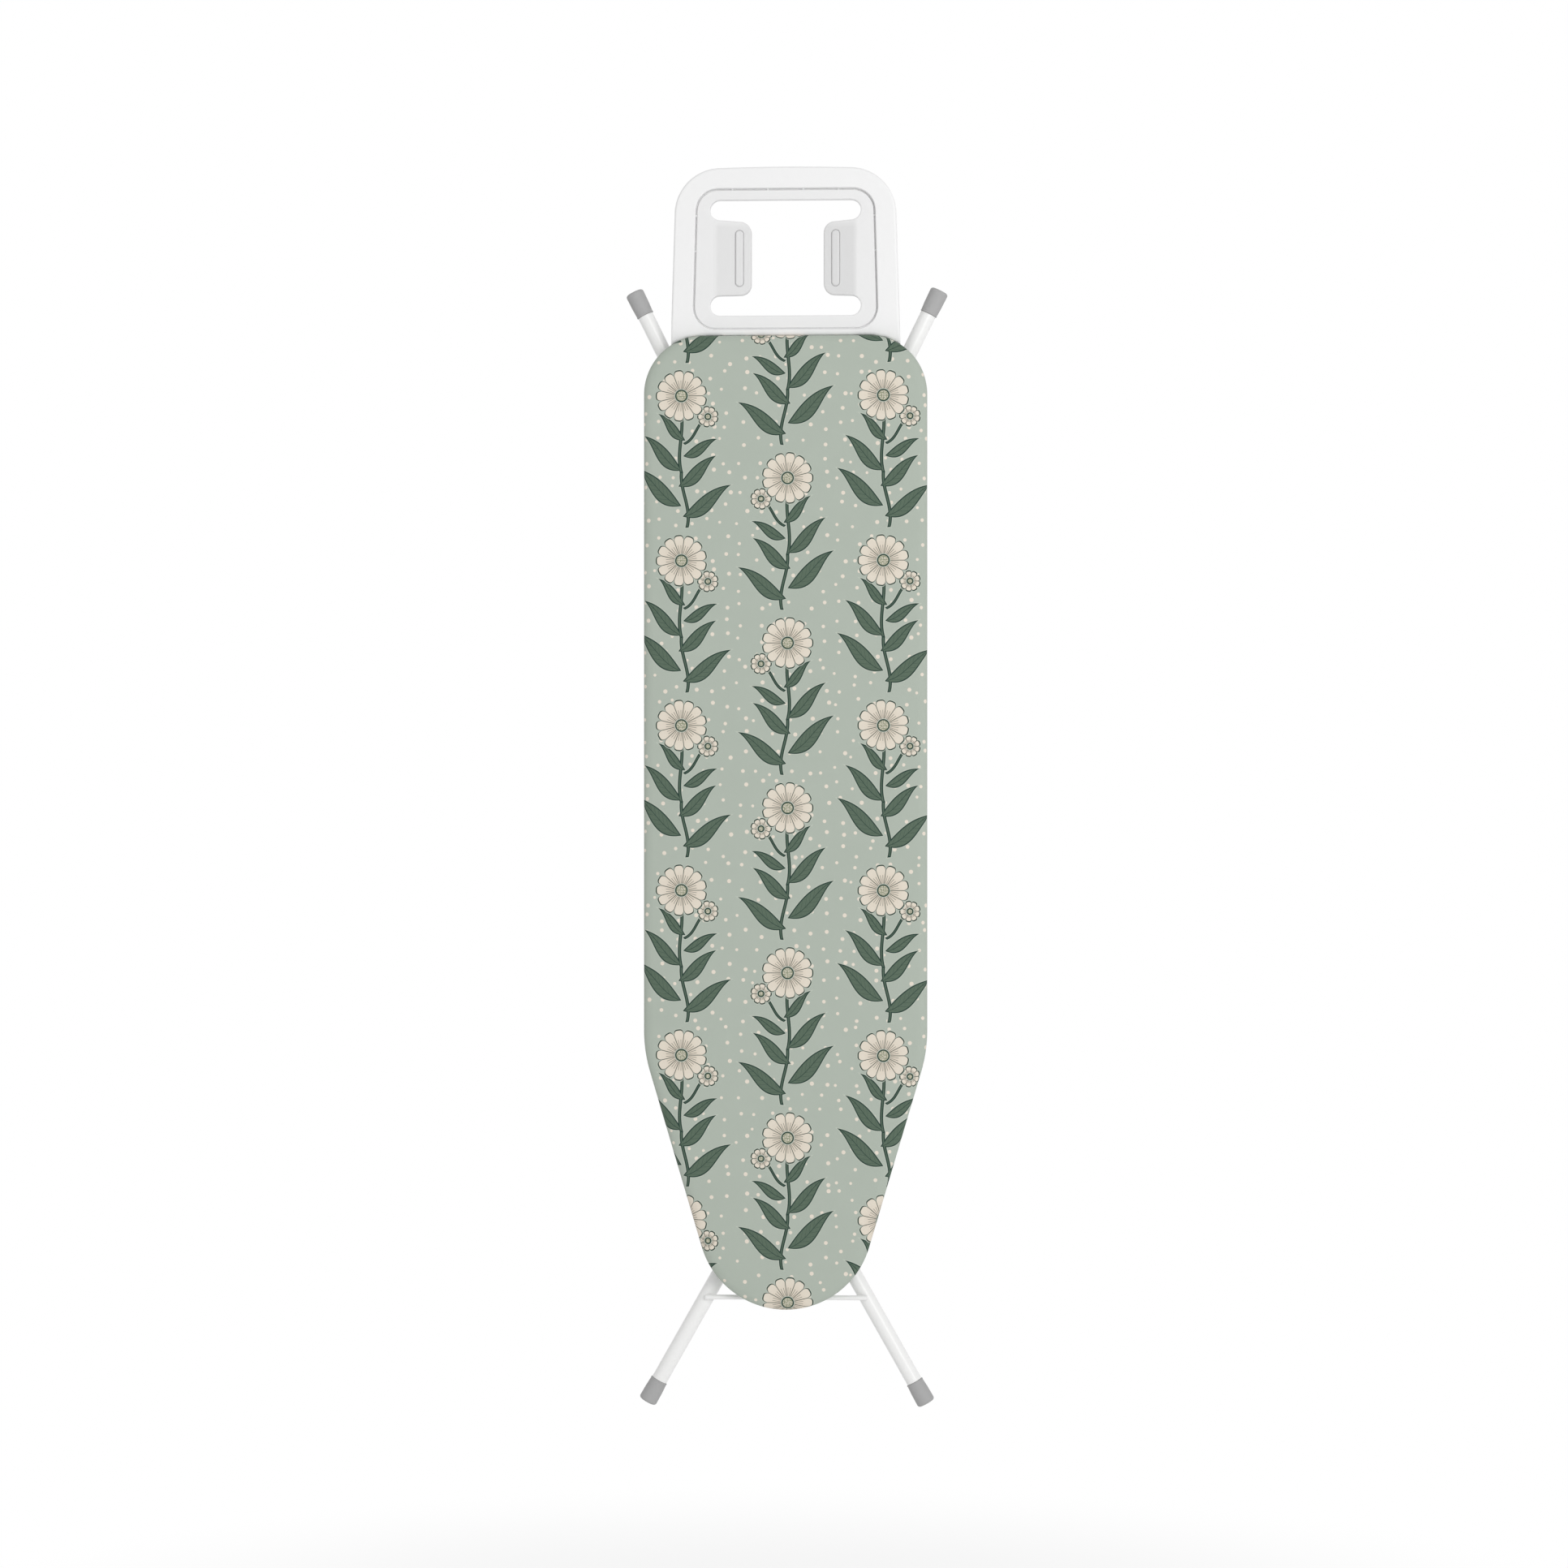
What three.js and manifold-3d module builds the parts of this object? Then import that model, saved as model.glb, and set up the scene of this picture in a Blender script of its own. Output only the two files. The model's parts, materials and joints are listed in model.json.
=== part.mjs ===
// Folding ironing board, hanging folded from the upper edge of the opening in its iron rest.
// Millimetres. +X runs across the board, +Y from the cover to the legs, +Z up to the iron rest.
// Inside the board group, Y counts from the cover's front face and Z from the lowest foot.
import * as THREE from 'three';
import { mergeVertices } from 'three/addons/utils/BufferGeometryUtils.js';
import Module from 'manifold-3d';

const wasm = await Module();
wasm.setup();

const GAP = 0.3;

// Board
const BOARD_LENGTH = 1100;
const HALF_WIDTH = 160;
const NOSE_Z = 110;
const REAR_CORNER_RADIUS = 66;
const SHOULDER_RADIUS = 165;
const NOSE_RADIUS = 98.7;
const TAPER_DEG = 16.5;

// Layers of the board, from the cover backwards
const CLOTH = 1;
const PAD_FRONT = CLOTH + GAP;
const PAD_BACK = 6;
const MESH_FRONT = PAD_BACK + GAP;
const MESH_BACK = MESH_FRONT + 1;
const FIXING_Y = MESH_BACK + GAP;
const EDGE_DEPTH = 15.5;
const EDGE_BACK = MESH_FRONT + EDGE_DEPTH;
const HEM_BACK = EDGE_BACK + GAP + CLOTH;
const HEM_WIDTH = 20;
const SHEET = 1.5;
const EDGE_SHEET = 1.2;

// Iron rest
const REST_FRONT = 5;
const REST_BACK = 20;
const REST_WALL = 2.6;
const REST_TOP = BOARD_LENGTH + 188;
const REST_FOOT_HALF_WIDTH = 128.8;
const REST_LEAN_DEG = 1.8;
const REST_CORNER_RADIUS = 52;
const REST_CORNER = { x: 72.3, z: REST_TOP - 53.9 };
const REST_ARCH_RADIUS = 1440;
const TRAY_DEPTH = 2.5;
const SLOT_END = { x: 74, radius: 11.3 };
const TOP_SLOT_Z = BOARD_LENGTH + 139.3;
const LOW_SLOT_Z = BOARD_LENGTH + 31.4;
const TONGUE_X = 40.9;
const TONGUE_RADIUS = 12.8;
const TONGUE = { low: BOARD_LENGTH + 43.6, high: BOARD_LENGTH + 126.3 };
const LIP_BACK = 17;
const STRAP_X = 102;

// Leg frames: two pairs of tubes crossed at a centre pivot
const TUBE_RADIUS = 9;
const TUBE_BORE = 8.2;
const BEND_RADIUS = 60;
const PIVOT_ROD_RADIUS = 5;
const LEG_Y = 38.5;
const ROD_Y = LEG_Y - TUBE_RADIUS - GAP - PIVOT_ROD_RADIUS;
const ARM = 410;
const TUBE_OVERHANG = 12;
const CENTRE_Z = 632;
const INNER = { x: 48, bendZ: 197.4, splayDeg: 29.5, away: -1 };
const OUTER = { x: 70, bendZ: 1052.6, splayDeg: 26.3, away: 1 };
const FOOT_LENGTH = 27;
const FOOT_RADIUS = 10.6;
const FOOT_RIM_RADIUS = 9.65;
const FOOT_ROUND = 4;
const SLIDE_NECK = { radius: 4, reach: 34.5 };
const GLIDE_RADIUS = 5.1;
const WIRE_RADIUS = 2.75;
const BOLT_RADIUS = 3;

// Height rack and its release
const RACK = { halfWidth: 30, web: 2, low: 205, high: 590, back: 32.5 };
const SLOT_HALF = 5.4;
const NOTCH_DEPTH = 5.6;
const NOTCHES = { first: 404, pitch: 26, count: 7 };
const LEVER_Z = 382;
const LEVER_HALF = 10;
const LEVER_PIVOT = { x: 46, y: 13.5 };
const LEVER_SHEET = 1.8;
const PIN_RADIUS = 1.5;

const rad = THREE.MathUtils.degToRad;

// The hanging point: middle of the upper edge of the iron rest's opening
const HANG = new THREE.Vector3(0, (REST_FRONT + LIP_BACK) / 2, NOSE_Z + TOP_SLOT_Z + SLOT_END.radius);

const paint = (name, color, roughness, metalness) => {
  const material = new THREE.MeshStandardMaterial({ color, roughness, metalness });
  material.name = name;
  return material;
};
const PRINTED_COTTON = paint('printed_cotton', '#adb5aa', 0.9, 0);
const FELT = paint('felt', '#e6e2d8', 1, 0);
const WHITE_ENAMEL = paint('white_enamel', '#f1f1ef', 0.35, 0.2);
const WHITE_PLASTIC = paint('white_plastic', '#f2f2f2', 0.45, 0);
const GREY_PLASTIC = paint('grey_plastic', '#a8a8a8', 0.7, 0);
const ZINC = paint('zinc', '#b9bcbf', 0.4, 0.9);

// ---- shared operations ----

function solid(geometry) {
  const bare = geometry.clone();
  bare.deleteAttribute('normal');
  bare.deleteAttribute('uv');
  const merged = mergeVertices(bare, 1e-3);
  const triVerts = new Uint32Array(merged.index.array);
  const vertProperties = new Float32Array(merged.attributes.position.array);
  return new wasm.Manifold(new wasm.Mesh({ numProp: 3, vertProperties, triVerts }));
}

function geometryOf(body) {
  const mesh = body.getMesh();
  const geometry = new THREE.BufferGeometry();
  geometry.setAttribute('position', new THREE.BufferAttribute(mesh.vertProperties, 3));
  geometry.setIndex(new THREE.BufferAttribute(mesh.triVerts, 1));
  geometry.computeVertexNormals();
  return geometry;
}

const join = (first, ...others) => others.reduce((sum, next) => sum.add(next), first);
const cut = (first, ...others) => others.reduce((rest, next) => rest.subtract(next), first);

function arc(x, z, radius, fromDeg, toDeg, steps) {
  return Array.from({ length: steps + 1 }, (_, i) => {
    const angle = rad(fromDeg + ((toDeg - fromDeg) * i) / steps);
    return new THREE.Vector2(x + radius * Math.cos(angle), z + radius * Math.sin(angle));
  });
}

const circle = (radius, sides) => arc(0, 0, radius, 0, 360 - 360 / sides, sides - 1);

// Closes a right-hand half outline, listed from centre line to centre line, with its mirror image.
function mirrored(half) {
  const left = half.filter((p) => p.x > 1e-6).reverse().map((p) => new THREE.Vector2(-p.x, p.y));
  return new THREE.Shape([...half, ...left]);
}

function roundedBox(x, z, halfWidth, halfHeight, radius, steps = 4) {
  const dx = halfWidth - radius;
  const dz = halfHeight - radius;
  const outline = [
    ...arc(x + dx, z + dz, radius, 0, 90, steps),
    ...arc(x - dx, z + dz, radius, 90, 180, steps),
    ...arc(x - dx, z - dz, radius, 180, 270, steps),
    ...arc(x + dx, z - dz, radius, 270, 360, steps),
  ];
  return new THREE.Shape(outline.filter((p, i) => p.distanceTo(outline[(i + 1) % outline.length]) > 1e-3));
}

// A plate whose outline lies in the board's plane, from one depth to another, with rounded edges if asked.
function plate(shape, front, back, round = 0, bevelSegments = 2) {
  const bevel = { bevelEnabled: round > 0, bevelThickness: round, bevelSize: round, bevelOffset: -round };
  const depth = back - front - 2 * round;
  const geometry = new THREE.ExtrudeGeometry(shape, { ...bevel, bevelSegments, depth });
  return geometry.rotateX(Math.PI / 2).translate(0, back - round, 0);
}

// A profile drawn in depth (Y) and height (Z), extruded across the board.
function crossways(shape, fromX, toX) {
  const geometry = new THREE.ExtrudeGeometry(shape, { bevelEnabled: false, depth: toX - fromX });
  const turn = new THREE.Matrix4().makeBasis(
    new THREE.Vector3(0, 1, 0), new THREE.Vector3(0, 0, 1), new THREE.Vector3(1, 0, 0));
  return geometry.applyMatrix4(turn).translate(fromX, 0, 0);
}

// A profile drawn across the board (X) and in depth (Y), extruded along it.
function lengthways(shape, fromZ, toZ) {
  const geometry = new THREE.ExtrudeGeometry(shape, { bevelEnabled: false, depth: toZ - fromZ });
  return geometry.translate(0, 0, fromZ);
}

function box(x0, x1, y0, y1, z0, z1) {
  const geometry = new THREE.BoxGeometry(x1 - x0, y1 - y0, z1 - z0);
  return geometry.translate((x0 + x1) / 2, (y0 + y1) / 2, (z0 + z1) / 2);
}

function rodX(radius, fromX, toX, y, z, sides = 16) {
  const geometry = new THREE.CylinderGeometry(radius, radius, toX - fromX, sides);
  return geometry.rotateZ(-Math.PI / 2).translate((fromX + toX) / 2, y, z);
}

function rodY(radius, fromY, toY, x, z, sides = 12) {
  const geometry = new THREE.CylinderGeometry(radius, radius, toY - fromY, sides);
  return geometry.translate(x, (fromY + toY) / 2, z);
}

function rodZ(radius, fromZ, toZ, x, y, sides = 12) {
  const geometry = new THREE.CylinderGeometry(radius, radius, toZ - fromZ, sides);
  return geometry.rotateX(Math.PI / 2).translate(x, y, (fromZ + toZ) / 2);
}

// The outline of a folded strip: its centre line moved half a sheet to either side.
function strip(line, thickness) {
  const half = thickness / 2;
  const side = (sign) => line.map((point, i) => {
    const before = line[Math.max(i - 1, 0)];
    const after = line[Math.min(i + 1, line.length - 1)];
    const along = new THREE.Vector2().subVectors(after, before).normalize();
    return new THREE.Vector2(point.x - sign * half * along.y, point.y + sign * half * along.x);
  });
  return new THREE.Shape([...side(-1), ...side(1).reverse()]);
}

const points = (...pairs) => pairs.map(([x, y]) => new THREE.Vector2(x, y));

function named(name, geometry, material) {
  const mesh = new THREE.Mesh(geometry, material);
  mesh.name = name;
  return mesh;
}

const raised = (geometry) => geometry.translate(0, 0, NOSE_Z);

// ---- board ----

// Outline of the board, moved inwards: rounded rear corners, straight sides, shoulders, taper and nose.
function boardOutline(inset) {
  const shoulderX = HALF_WIDTH - SHOULDER_RADIUS;
  const normal = rad(TAPER_DEG);
  const rise = (SHOULDER_RADIUS - NOSE_RADIUS + shoulderX * Math.cos(normal)) / Math.sin(normal);
  const cornerX = HALF_WIDTH - REAR_CORNER_RADIUS;
  const cornerZ = BOARD_LENGTH - REAR_CORNER_RADIUS;
  return mirrored([
    new THREE.Vector2(0, BOARD_LENGTH - inset),
    ...arc(cornerX, cornerZ, REAR_CORNER_RADIUS - inset, 90, 0, 7),
    ...arc(shoulderX, NOSE_RADIUS + rise, SHOULDER_RADIUS - inset, 0, -TAPER_DEG, 2),
    ...arc(0, NOSE_RADIUS, NOSE_RADIUS - inset, -TAPER_DEG, -90, 6),
  ]);
}

function boardSlab(inset, front, back, round) {
  return solid(raised(plate(boardOutline(inset), front, back, round)));
}

// Cloth cover: a tray of fabric that wraps the edge and ends in a hem behind it.
function cover() {
  const midway = 14;
  const outside = join(boardSlab(0, 0, midway, 3), boardSlab(0, midway / 2, HEM_BACK, 1.6));
  const hollow = join(boardSlab(CLOTH, CLOTH, midway, 2), boardSlab(CLOTH, midway / 2, EDGE_BACK + GAP, 0));
  const mouth = boardSlab(HEM_WIDTH, midway, HEM_BACK + CLOTH, 0);
  return named('cover', geometryOf(cut(outside, hollow, mouth)), PRINTED_COTTON);
}

function pad() {
  const geometry = raised(plate(boardOutline(PAD_FRONT), PAD_FRONT, PAD_BACK, 1.8, 1));
  return named('pad', geometry, FELT);
}

// Expanded steel sheet: staggered diamonds in rows, with a solid border.
function meshPanel() {
  const pitch = { x: 40, z: 80 };
  const half = { x: 15, z: 33 };
  const border = 15;
  const outline = boardOutline(PAD_FRONT + EDGE_SHEET + GAP);
  const limit = boardOutline(PAD_FRONT + EDGE_SHEET + border).getPoints();
  const rows = Math.floor(BOARD_LENGTH / (pitch.z / 2));
  for (let row = 1; row < rows; row += 1) {
    const z = row * (pitch.z / 2) + 6;
    for (let column = -5; column <= 4; column += 1) {
      const x = (column + (row % 2) / 2) * pitch.x;
      const corners = points([x + half.x, z], [x, z + half.z], [x - half.x, z], [x, z - half.z]);
      if (corners.every((corner) => inside(corner, limit))) {
        outline.holes.push(new THREE.Path(corners));
      }
    }
  }
  return named('mesh_panel', raised(plate(outline, MESH_FRONT, MESH_BACK)), WHITE_ENAMEL);
}

// True where a point lies within a convex outline, whichever way round that is drawn.
function inside(point, outline) {
  let sign = 0;
  return outline.every((a, i) => {
    const b = outline[(i + 1) % outline.length];
    const turn = (b.x - a.x) * (point.y - a.y) - (b.y - a.y) * (point.x - a.x);
    sign = sign || Math.sign(turn);
    return turn * sign >= 0;
  });
}

// Folded steel edge: a deep wall with a flange under the mesh and a turned-in lip at the back.
function edgeFrame() {
  const ring = (front, back, width) =>
    boardSlab(PAD_FRONT, front, back, 0).subtract(boardSlab(PAD_FRONT + width, front - 1, back + 1, 0));
  const wall = ring(MESH_FRONT, EDGE_BACK, EDGE_SHEET);
  const flange = ring(FIXING_Y, FIXING_Y + EDGE_SHEET, 12.7);
  const lip = ring(EDGE_BACK - EDGE_SHEET, EDGE_BACK, 7);
  return named('edge_frame', geometryOf(join(wall, flange, lip)), WHITE_ENAMEL);
}

// ---- iron rest ----

function restOutline(inset) {
  const lean = rad(REST_LEAN_DEG);
  const foot = REST_CORNER.z - BOARD_LENGTH + 70;
  const archZ = REST_TOP - REST_ARCH_RADIUS;
  const archSine = REST_CORNER.x / (REST_ARCH_RADIUS - REST_CORNER_RADIUS);
  const archDeg = 90 - THREE.MathUtils.radToDeg(Math.asin(archSine));
  const corner = arc(REST_CORNER.x, REST_CORNER.z, REST_CORNER_RADIUS - inset, archDeg, REST_LEAN_DEG, 8);
  const last = corner[corner.length - 1];
  return mirrored([
    ...arc(0, archZ, REST_ARCH_RADIUS - inset, 90, (90 + archDeg) / 2, 1),
    ...corner,
    new THREE.Vector2(last.x + foot * Math.tan(lean), last.y - foot),
    new THREE.Vector2(0, last.y - foot),
  ]);
}

function trayOutline(grow) {
  const radius = 26 + grow;
  return mirrored([
    new THREE.Vector2(0, REST_TOP - 24.2 + grow),
    ...arc(75, REST_TOP - 50.2, radius, 90, 0, 5),
    ...arc(78, BOARD_LENGTH + 32.6, radius, 0, -90, 5),
    new THREE.Vector2(0, BOARD_LENGTH + 6.6 - grow),
  ]);
}

// The H-shaped opening: two long slots joined between the tongues that carry the iron.
function restOpening(grow) {
  const end = SLOT_END.radius + grow;
  const tip = TONGUE_RADIUS - grow;
  const tipX = TONGUE_X + TONGUE_RADIUS;
  return mirrored([
    new THREE.Vector2(0, TOP_SLOT_Z + end),
    ...arc(SLOT_END.x, TOP_SLOT_Z, end, 90, -90, 6),
    ...arc(tipX, TONGUE.high - TONGUE_RADIUS, tip, 90, 180, 4),
    ...arc(tipX, TONGUE.low + TONGUE_RADIUS, tip, 180, 270, 4),
    ...arc(SLOT_END.x, LOW_SLOT_Z, end, 90, -90, 6),
    new THREE.Vector2(0, LOW_SLOT_Z - end),
  ]);
}

function restPlate(shape, front, back, round, segments) {
  return solid(raised(plate(shape, front, back, round, segments)));
}

// Stiffening ribs across the hollow back of the frame.
function restRibs() {
  const ribs = [-60, -20, 20, 60].map((x) => [x - 1, x + 1, TOP_SLOT_Z + 12, REST_TOP - 2]);
  for (const side of [-1, 1]) {
    for (const z of [96, 136]) {
      const ends = [side * 86, side * 126].sort((a, b) => a - b);
      ribs.push([...ends, BOARD_LENGTH + z - 1, BOARD_LENGTH + z + 1]);
    }
  }
  return ribs.map(([x0, x1, z0, z1]) => solid(raised(box(x0, x1, REST_FRONT + REST_WALL, 14, z0, z1))));
}

// Places on both straps, at heights counted from the board's rear edge.
const strapPlaces = (heights) =>
  [-1, 1].flatMap((side) => heights.map((z) => [side * STRAP_X, BOARD_LENGTH + z]));
const restScrewPlaces = () => strapPlaces([24, 64]);
const strapRivetPlaces = () => strapPlaces([-78, -66]);

// Moulded iron rest: a domed frame, a sunk tray, an H-shaped opening with a lip and a rib on each tongue.
function ironRest() {
  const bodyBack = REST_BACK + 10;
  const outside = restPlate(restOutline(0), REST_FRONT, bodyBack, 5, 3);
  const hollow = restPlate(restOutline(REST_WALL), REST_FRONT + REST_WALL, bodyBack + 5, 3, 2);
  const behind = restPlate(restOutline(-5), REST_BACK, bodyBack + 5, 0);
  const board = restPlate(boardOutline(-0.8), -1, bodyBack + 6, 0);
  const foot = restPlate(boardOutline(-0.8 - REST_WALL), REST_FRONT + 1, REST_BACK, 0).intersect(outside);
  const sink = restPlate(trayOutline(0), 0, REST_FRONT + TRAY_DEPTH, 0);
  const trayFront = REST_FRONT + TRAY_DEPTH;
  const tray = restPlate(trayOutline(REST_WALL), trayFront, trayFront + REST_WALL, 0).intersect(outside);
  const lip = restPlate(restOpening(2.4), trayFront, LIP_BACK, 0);
  const opening = restPlate(restOpening(0), 0, bodyBack, 0);
  const rib = (x) => {
    const middle = (TONGUE.low + TONGUE.high) / 2;
    return restPlate(roundedBox(x, middle, 4.15, 31.4, 4.15, 3), REST_FRONT + 0.6, trayFront + 1.6, 1, 2);
  };
  const bosses = restScrewPlaces().map(([x, z]) =>
    solid(raised(rodY(6, REST_FRONT + REST_WALL, HEM_BACK, x, z, 12))));
  const bores = restScrewPlaces().map(([x, z]) =>
    solid(raised(rodY(2.3, REST_FRONT + REST_WALL + 2, HEM_BACK + 1, x, z, 10))));
  const shell = cut(join(cut(outside, hollow, behind), foot, tray), sink);
  const body = join(cut(join(shell, lip, ...restRibs()), opening), rib(-54.4), rib(54.4), ...bosses);
  return named('iron_rest', geometryOf(cut(body, board, ...bores)), WHITE_PLASTIC);
}

// Two flat steel straps that carry the iron rest, with holes for their screws and rivets.
const STRAP_FRONT = HEM_BACK + GAP;
const STRAP_BACK = STRAP_FRONT + 2.5;

function restStrap(side) {
  const low = BOARD_LENGTH - 92;
  const high = BOARD_LENGTH + 76;
  const shape = roundedBox(side * STRAP_X, (low + high) / 2, 10, (high - low) / 2, 10);
  const places = [...restScrewPlaces(), ...strapRivetPlaces()].filter(([x]) => x * side > 0);
  const holes = places.map(([x, z]) => solid(raised(rodY(2.4, STRAP_FRONT - 1, STRAP_BACK + 1, x, z, 10))));
  return geometryOf(cut(restPlate(shape, STRAP_FRONT, STRAP_BACK, 0), ...holes));
}

// Hat-section rail across the underside that the straps are riveted to.
function restCrossmember() {
  const z = BOARD_LENGTH - 72;
  const web = 14;
  const foot = 26;
  const front = FIXING_Y + SHEET / 2;
  const back = HEM_BACK - SHEET / 2;
  const half = SHEET / 2;
  const shape = new THREE.Shape([
    ...points([front - half, z - foot], [front - half, z - web + half], [back - half, z - web + half],
      [back - half, z + web - half], [front - half, z + web - half], [front - half, z + foot]),
    ...points([front + half, z + foot], [front + half, z + web + half], [back + half, z + web + half],
      [back + half, z - web - half], [front + half, z - web - half], [front + half, z - foot]),
  ]);
  const holes = strapRivetPlaces().map(([x, y]) => solid(raised(rodY(2.3, back - 3, back + 3, x, y, 10))));
  const rail = solid(raised(crossways(shape, -120, 120)));
  return named('rest_crossmember', geometryOf(cut(rail, ...holes)), WHITE_ENAMEL);
}

// Screw or rivet: a round head on the strap and a shank through it.
function fastener([x, z], shankFront) {
  const head = solid(raised(rodY(4, STRAP_BACK + GAP, STRAP_BACK + GAP + 1.8, x, z, 12)));
  const shank = solid(raised(rodY(2, shankFront, STRAP_BACK + GAP + 1, x, z, 8)));
  return geometryOf(head.add(shank));
}

const numbered = (name, places, shankFront) => places.map((place, i) =>
  named(`${name}_${i + 1}`, fastener(place, shankFront), ZINC));

// ---- pivot bracket and height rack ----

// U-shaped bracket whose two ears hold the inner legs' pivot rod.
function pivotBracket() {
  const z = CENTRE_Z + ARM;
  const ear = new THREE.Shape([
    ...points([FIXING_Y, z - 20], [FIXING_Y, z + 20]).reverse(),
    ...arc(ROD_Y, z, 8.5, -70, 70, 6),
  ]);
  const base = solid(box(-36, 36, FIXING_Y, FIXING_Y + 2, z - 20, z + 20));
  const ears = [-30, 28].map((x) => solid(crossways(ear, x, x + 2)));
  const hole = solid(rodX(PIVOT_ROD_RADIUS + 0.45, -40, 40, ROD_Y, z, 20));
  return named('pivot_bracket', geometryOf(cut(join(base, ...ears), hole)), ZINC);
}

// Profile of one web of the rack: a long slot for the slide bar, with notches on its board side.
function rackWeb() {
  const web = new THREE.Shape(points([FIXING_Y, RACK.low], [RACK.back, RACK.low + 6],
    [RACK.back, RACK.high - 6], [FIXING_Y, RACK.high]));
  const front = ROD_Y - SLOT_HALF;
  const back = ROD_Y + SLOT_HALF;
  const low = CENTRE_Z - ARM;
  const high = NOTCHES.first + NOTCHES.pitch * (NOTCHES.count - 1);
  const slot = [...arc(ROD_Y, low, SLOT_HALF, 360, 180, 8)];
  for (let i = 0; i < NOTCHES.count; i += 1) {
    const z = NOTCHES.first + NOTCHES.pitch * i;
    slot.push(...points([front, z - SLOT_HALF], [front - NOTCH_DEPTH * 0.5, z - SLOT_HALF],
      [front - NOTCH_DEPTH, z - SLOT_HALF * 0.5], [front - NOTCH_DEPTH, z + SLOT_HALF * 0.5],
      [front - NOTCH_DEPTH * 0.5, z + SLOT_HALF], [front, z + SLOT_HALF + 3]));
  }
  slot.push(...points([front, high + 12], [back, high + 12]));
  web.holes.push(new THREE.Path(slot));
  return web;
}

// Pressed channel on the underside in which the outer legs' slide bar travels.
function heightRack() {
  const web = rackWeb();
  const base = solid(box(-RACK.halfWidth, RACK.halfWidth, FIXING_Y, FIXING_Y + SHEET, RACK.low, RACK.high));
  const places = [-RACK.halfWidth, RACK.halfWidth - RACK.web];
  const webs = places.map((x) => solid(crossways(web, x, x + RACK.web)));
  const window = solid(box(RACK.halfWidth - 4, RACK.halfWidth + 2, FIXING_Y + SHEET, LEVER_PIVOT.y + 3,
    LEVER_Z - LEVER_HALF - 3, LEVER_Z + LEVER_HALF + 3));
  const vents = [240, 290, 340, 430, 480, 530].map((z) =>
    solid(plate(roundedBox(0, z, 7, 18, 7), FIXING_Y - 1, FIXING_Y + SHEET + 1)));
  return named('height_rack', geometryOf(cut(join(base, ...webs), window, ...vents)), ZINC);
}

// Plate inside the rack that lifts the slide bar out of its notch.
function releasePlate() {
  const low = LEVER_Z - LEVER_HALF - 6;
  const high = NOTCHES.first + NOTCHES.pitch * (NOTCHES.count - 1) + 10;
  const back = ROD_Y - SLOT_HALF - NOTCH_DEPTH + 1;
  const outline = roundedBox(0, (low + high) / 2, 26.5, (high - low) / 2, 5);
  const sheet = solid(plate(outline, back - SHEET, back));
  const ends = [low, high - SHEET].map((z) => solid(box(-20, 20, back - 3, back - 0.5, z, z + SHEET)));
  return named('release_plate', geometryOf(join(sheet, ...ends)), ZINC);
}

// ---- release lever ----

const LEVER_LOW = LEVER_Z - LEVER_HALF;
const LEVER_HIGH = LEVER_Z + LEVER_HALF;
const leverLine = () => points([5, 11.2], [28, 11.2], [38, 13.1], [LEVER_PIVOT.x, LEVER_PIVOT.y],
  [62, 14.3], [80, 15.4], [92, 22.6], [124, 23.4]);

function releaseLever() {
  const arm = solid(lengthways(strip(leverLine(), LEVER_SHEET), LEVER_LOW, LEVER_HIGH));
  const eye = solid(rodZ(3.2, LEVER_LOW, LEVER_HIGH, LEVER_PIVOT.x, LEVER_PIVOT.y, 16));
  const bore = solid(rodZ(PIN_RADIUS + GAP, LEVER_Z - 15, LEVER_Z + 15, LEVER_PIVOT.x, LEVER_PIVOT.y, 12));
  return named('release_lever', geometryOf(cut(join(arm, eye), bore)), ZINC);
}

// Moulded finger grip over the end of the lever.
function leverGrip() {
  const shape = roundedBox(111, LEVER_Z, 17, 21, 8, 4);
  const grip = solid(plate(shape, 20.2, 27.2, 2, 2));
  const sleeve = strip(leverLine(), LEVER_SHEET + 2 * GAP);
  const pocket = solid(lengthways(sleeve, LEVER_LOW - GAP, LEVER_HIGH + GAP));
  const end = solid(box(120, 124 + GAP, 21.8, 24.8, LEVER_LOW - GAP, LEVER_HIGH + GAP));
  return named('lever_grip', geometryOf(cut(grip, pocket, end)), GREY_PLASTIC);
}

function leverBracket() {
  const base = solid(box(34, 60, FIXING_Y, FIXING_Y + SHEET, LEVER_Z - 22, LEVER_Z + 22));
  const ear = new THREE.Shape([
    ...points([36, FIXING_Y], [56, FIXING_Y]),
    ...arc(LEVER_PIVOT.x, LEVER_PIVOT.y, 3.6, 20, 160, 5),
  ]);
  const ears = [-20.5, 19].map((z) => solid(lengthways(ear, LEVER_Z + z, LEVER_Z + z + SHEET)));
  const bore = solid(rodZ(PIN_RADIUS + GAP, LEVER_Z - 30, LEVER_Z + 30, LEVER_PIVOT.x, LEVER_PIVOT.y, 12));
  return named('lever_bracket', geometryOf(cut(join(base, ...ears), bore)), ZINC);
}

function leverPin() {
  const shank = solid(rodZ(PIN_RADIUS, LEVER_Z - 23, LEVER_Z + 22.5, LEVER_PIVOT.x, LEVER_PIVOT.y, 12));
  const head = solid(rodZ(2.8, LEVER_Z + 21, LEVER_Z + 22.5, LEVER_PIVOT.x, LEVER_PIVOT.y, 12));
  return named('lever_pin', geometryOf(join(shank, head)), ZINC);
}

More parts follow.
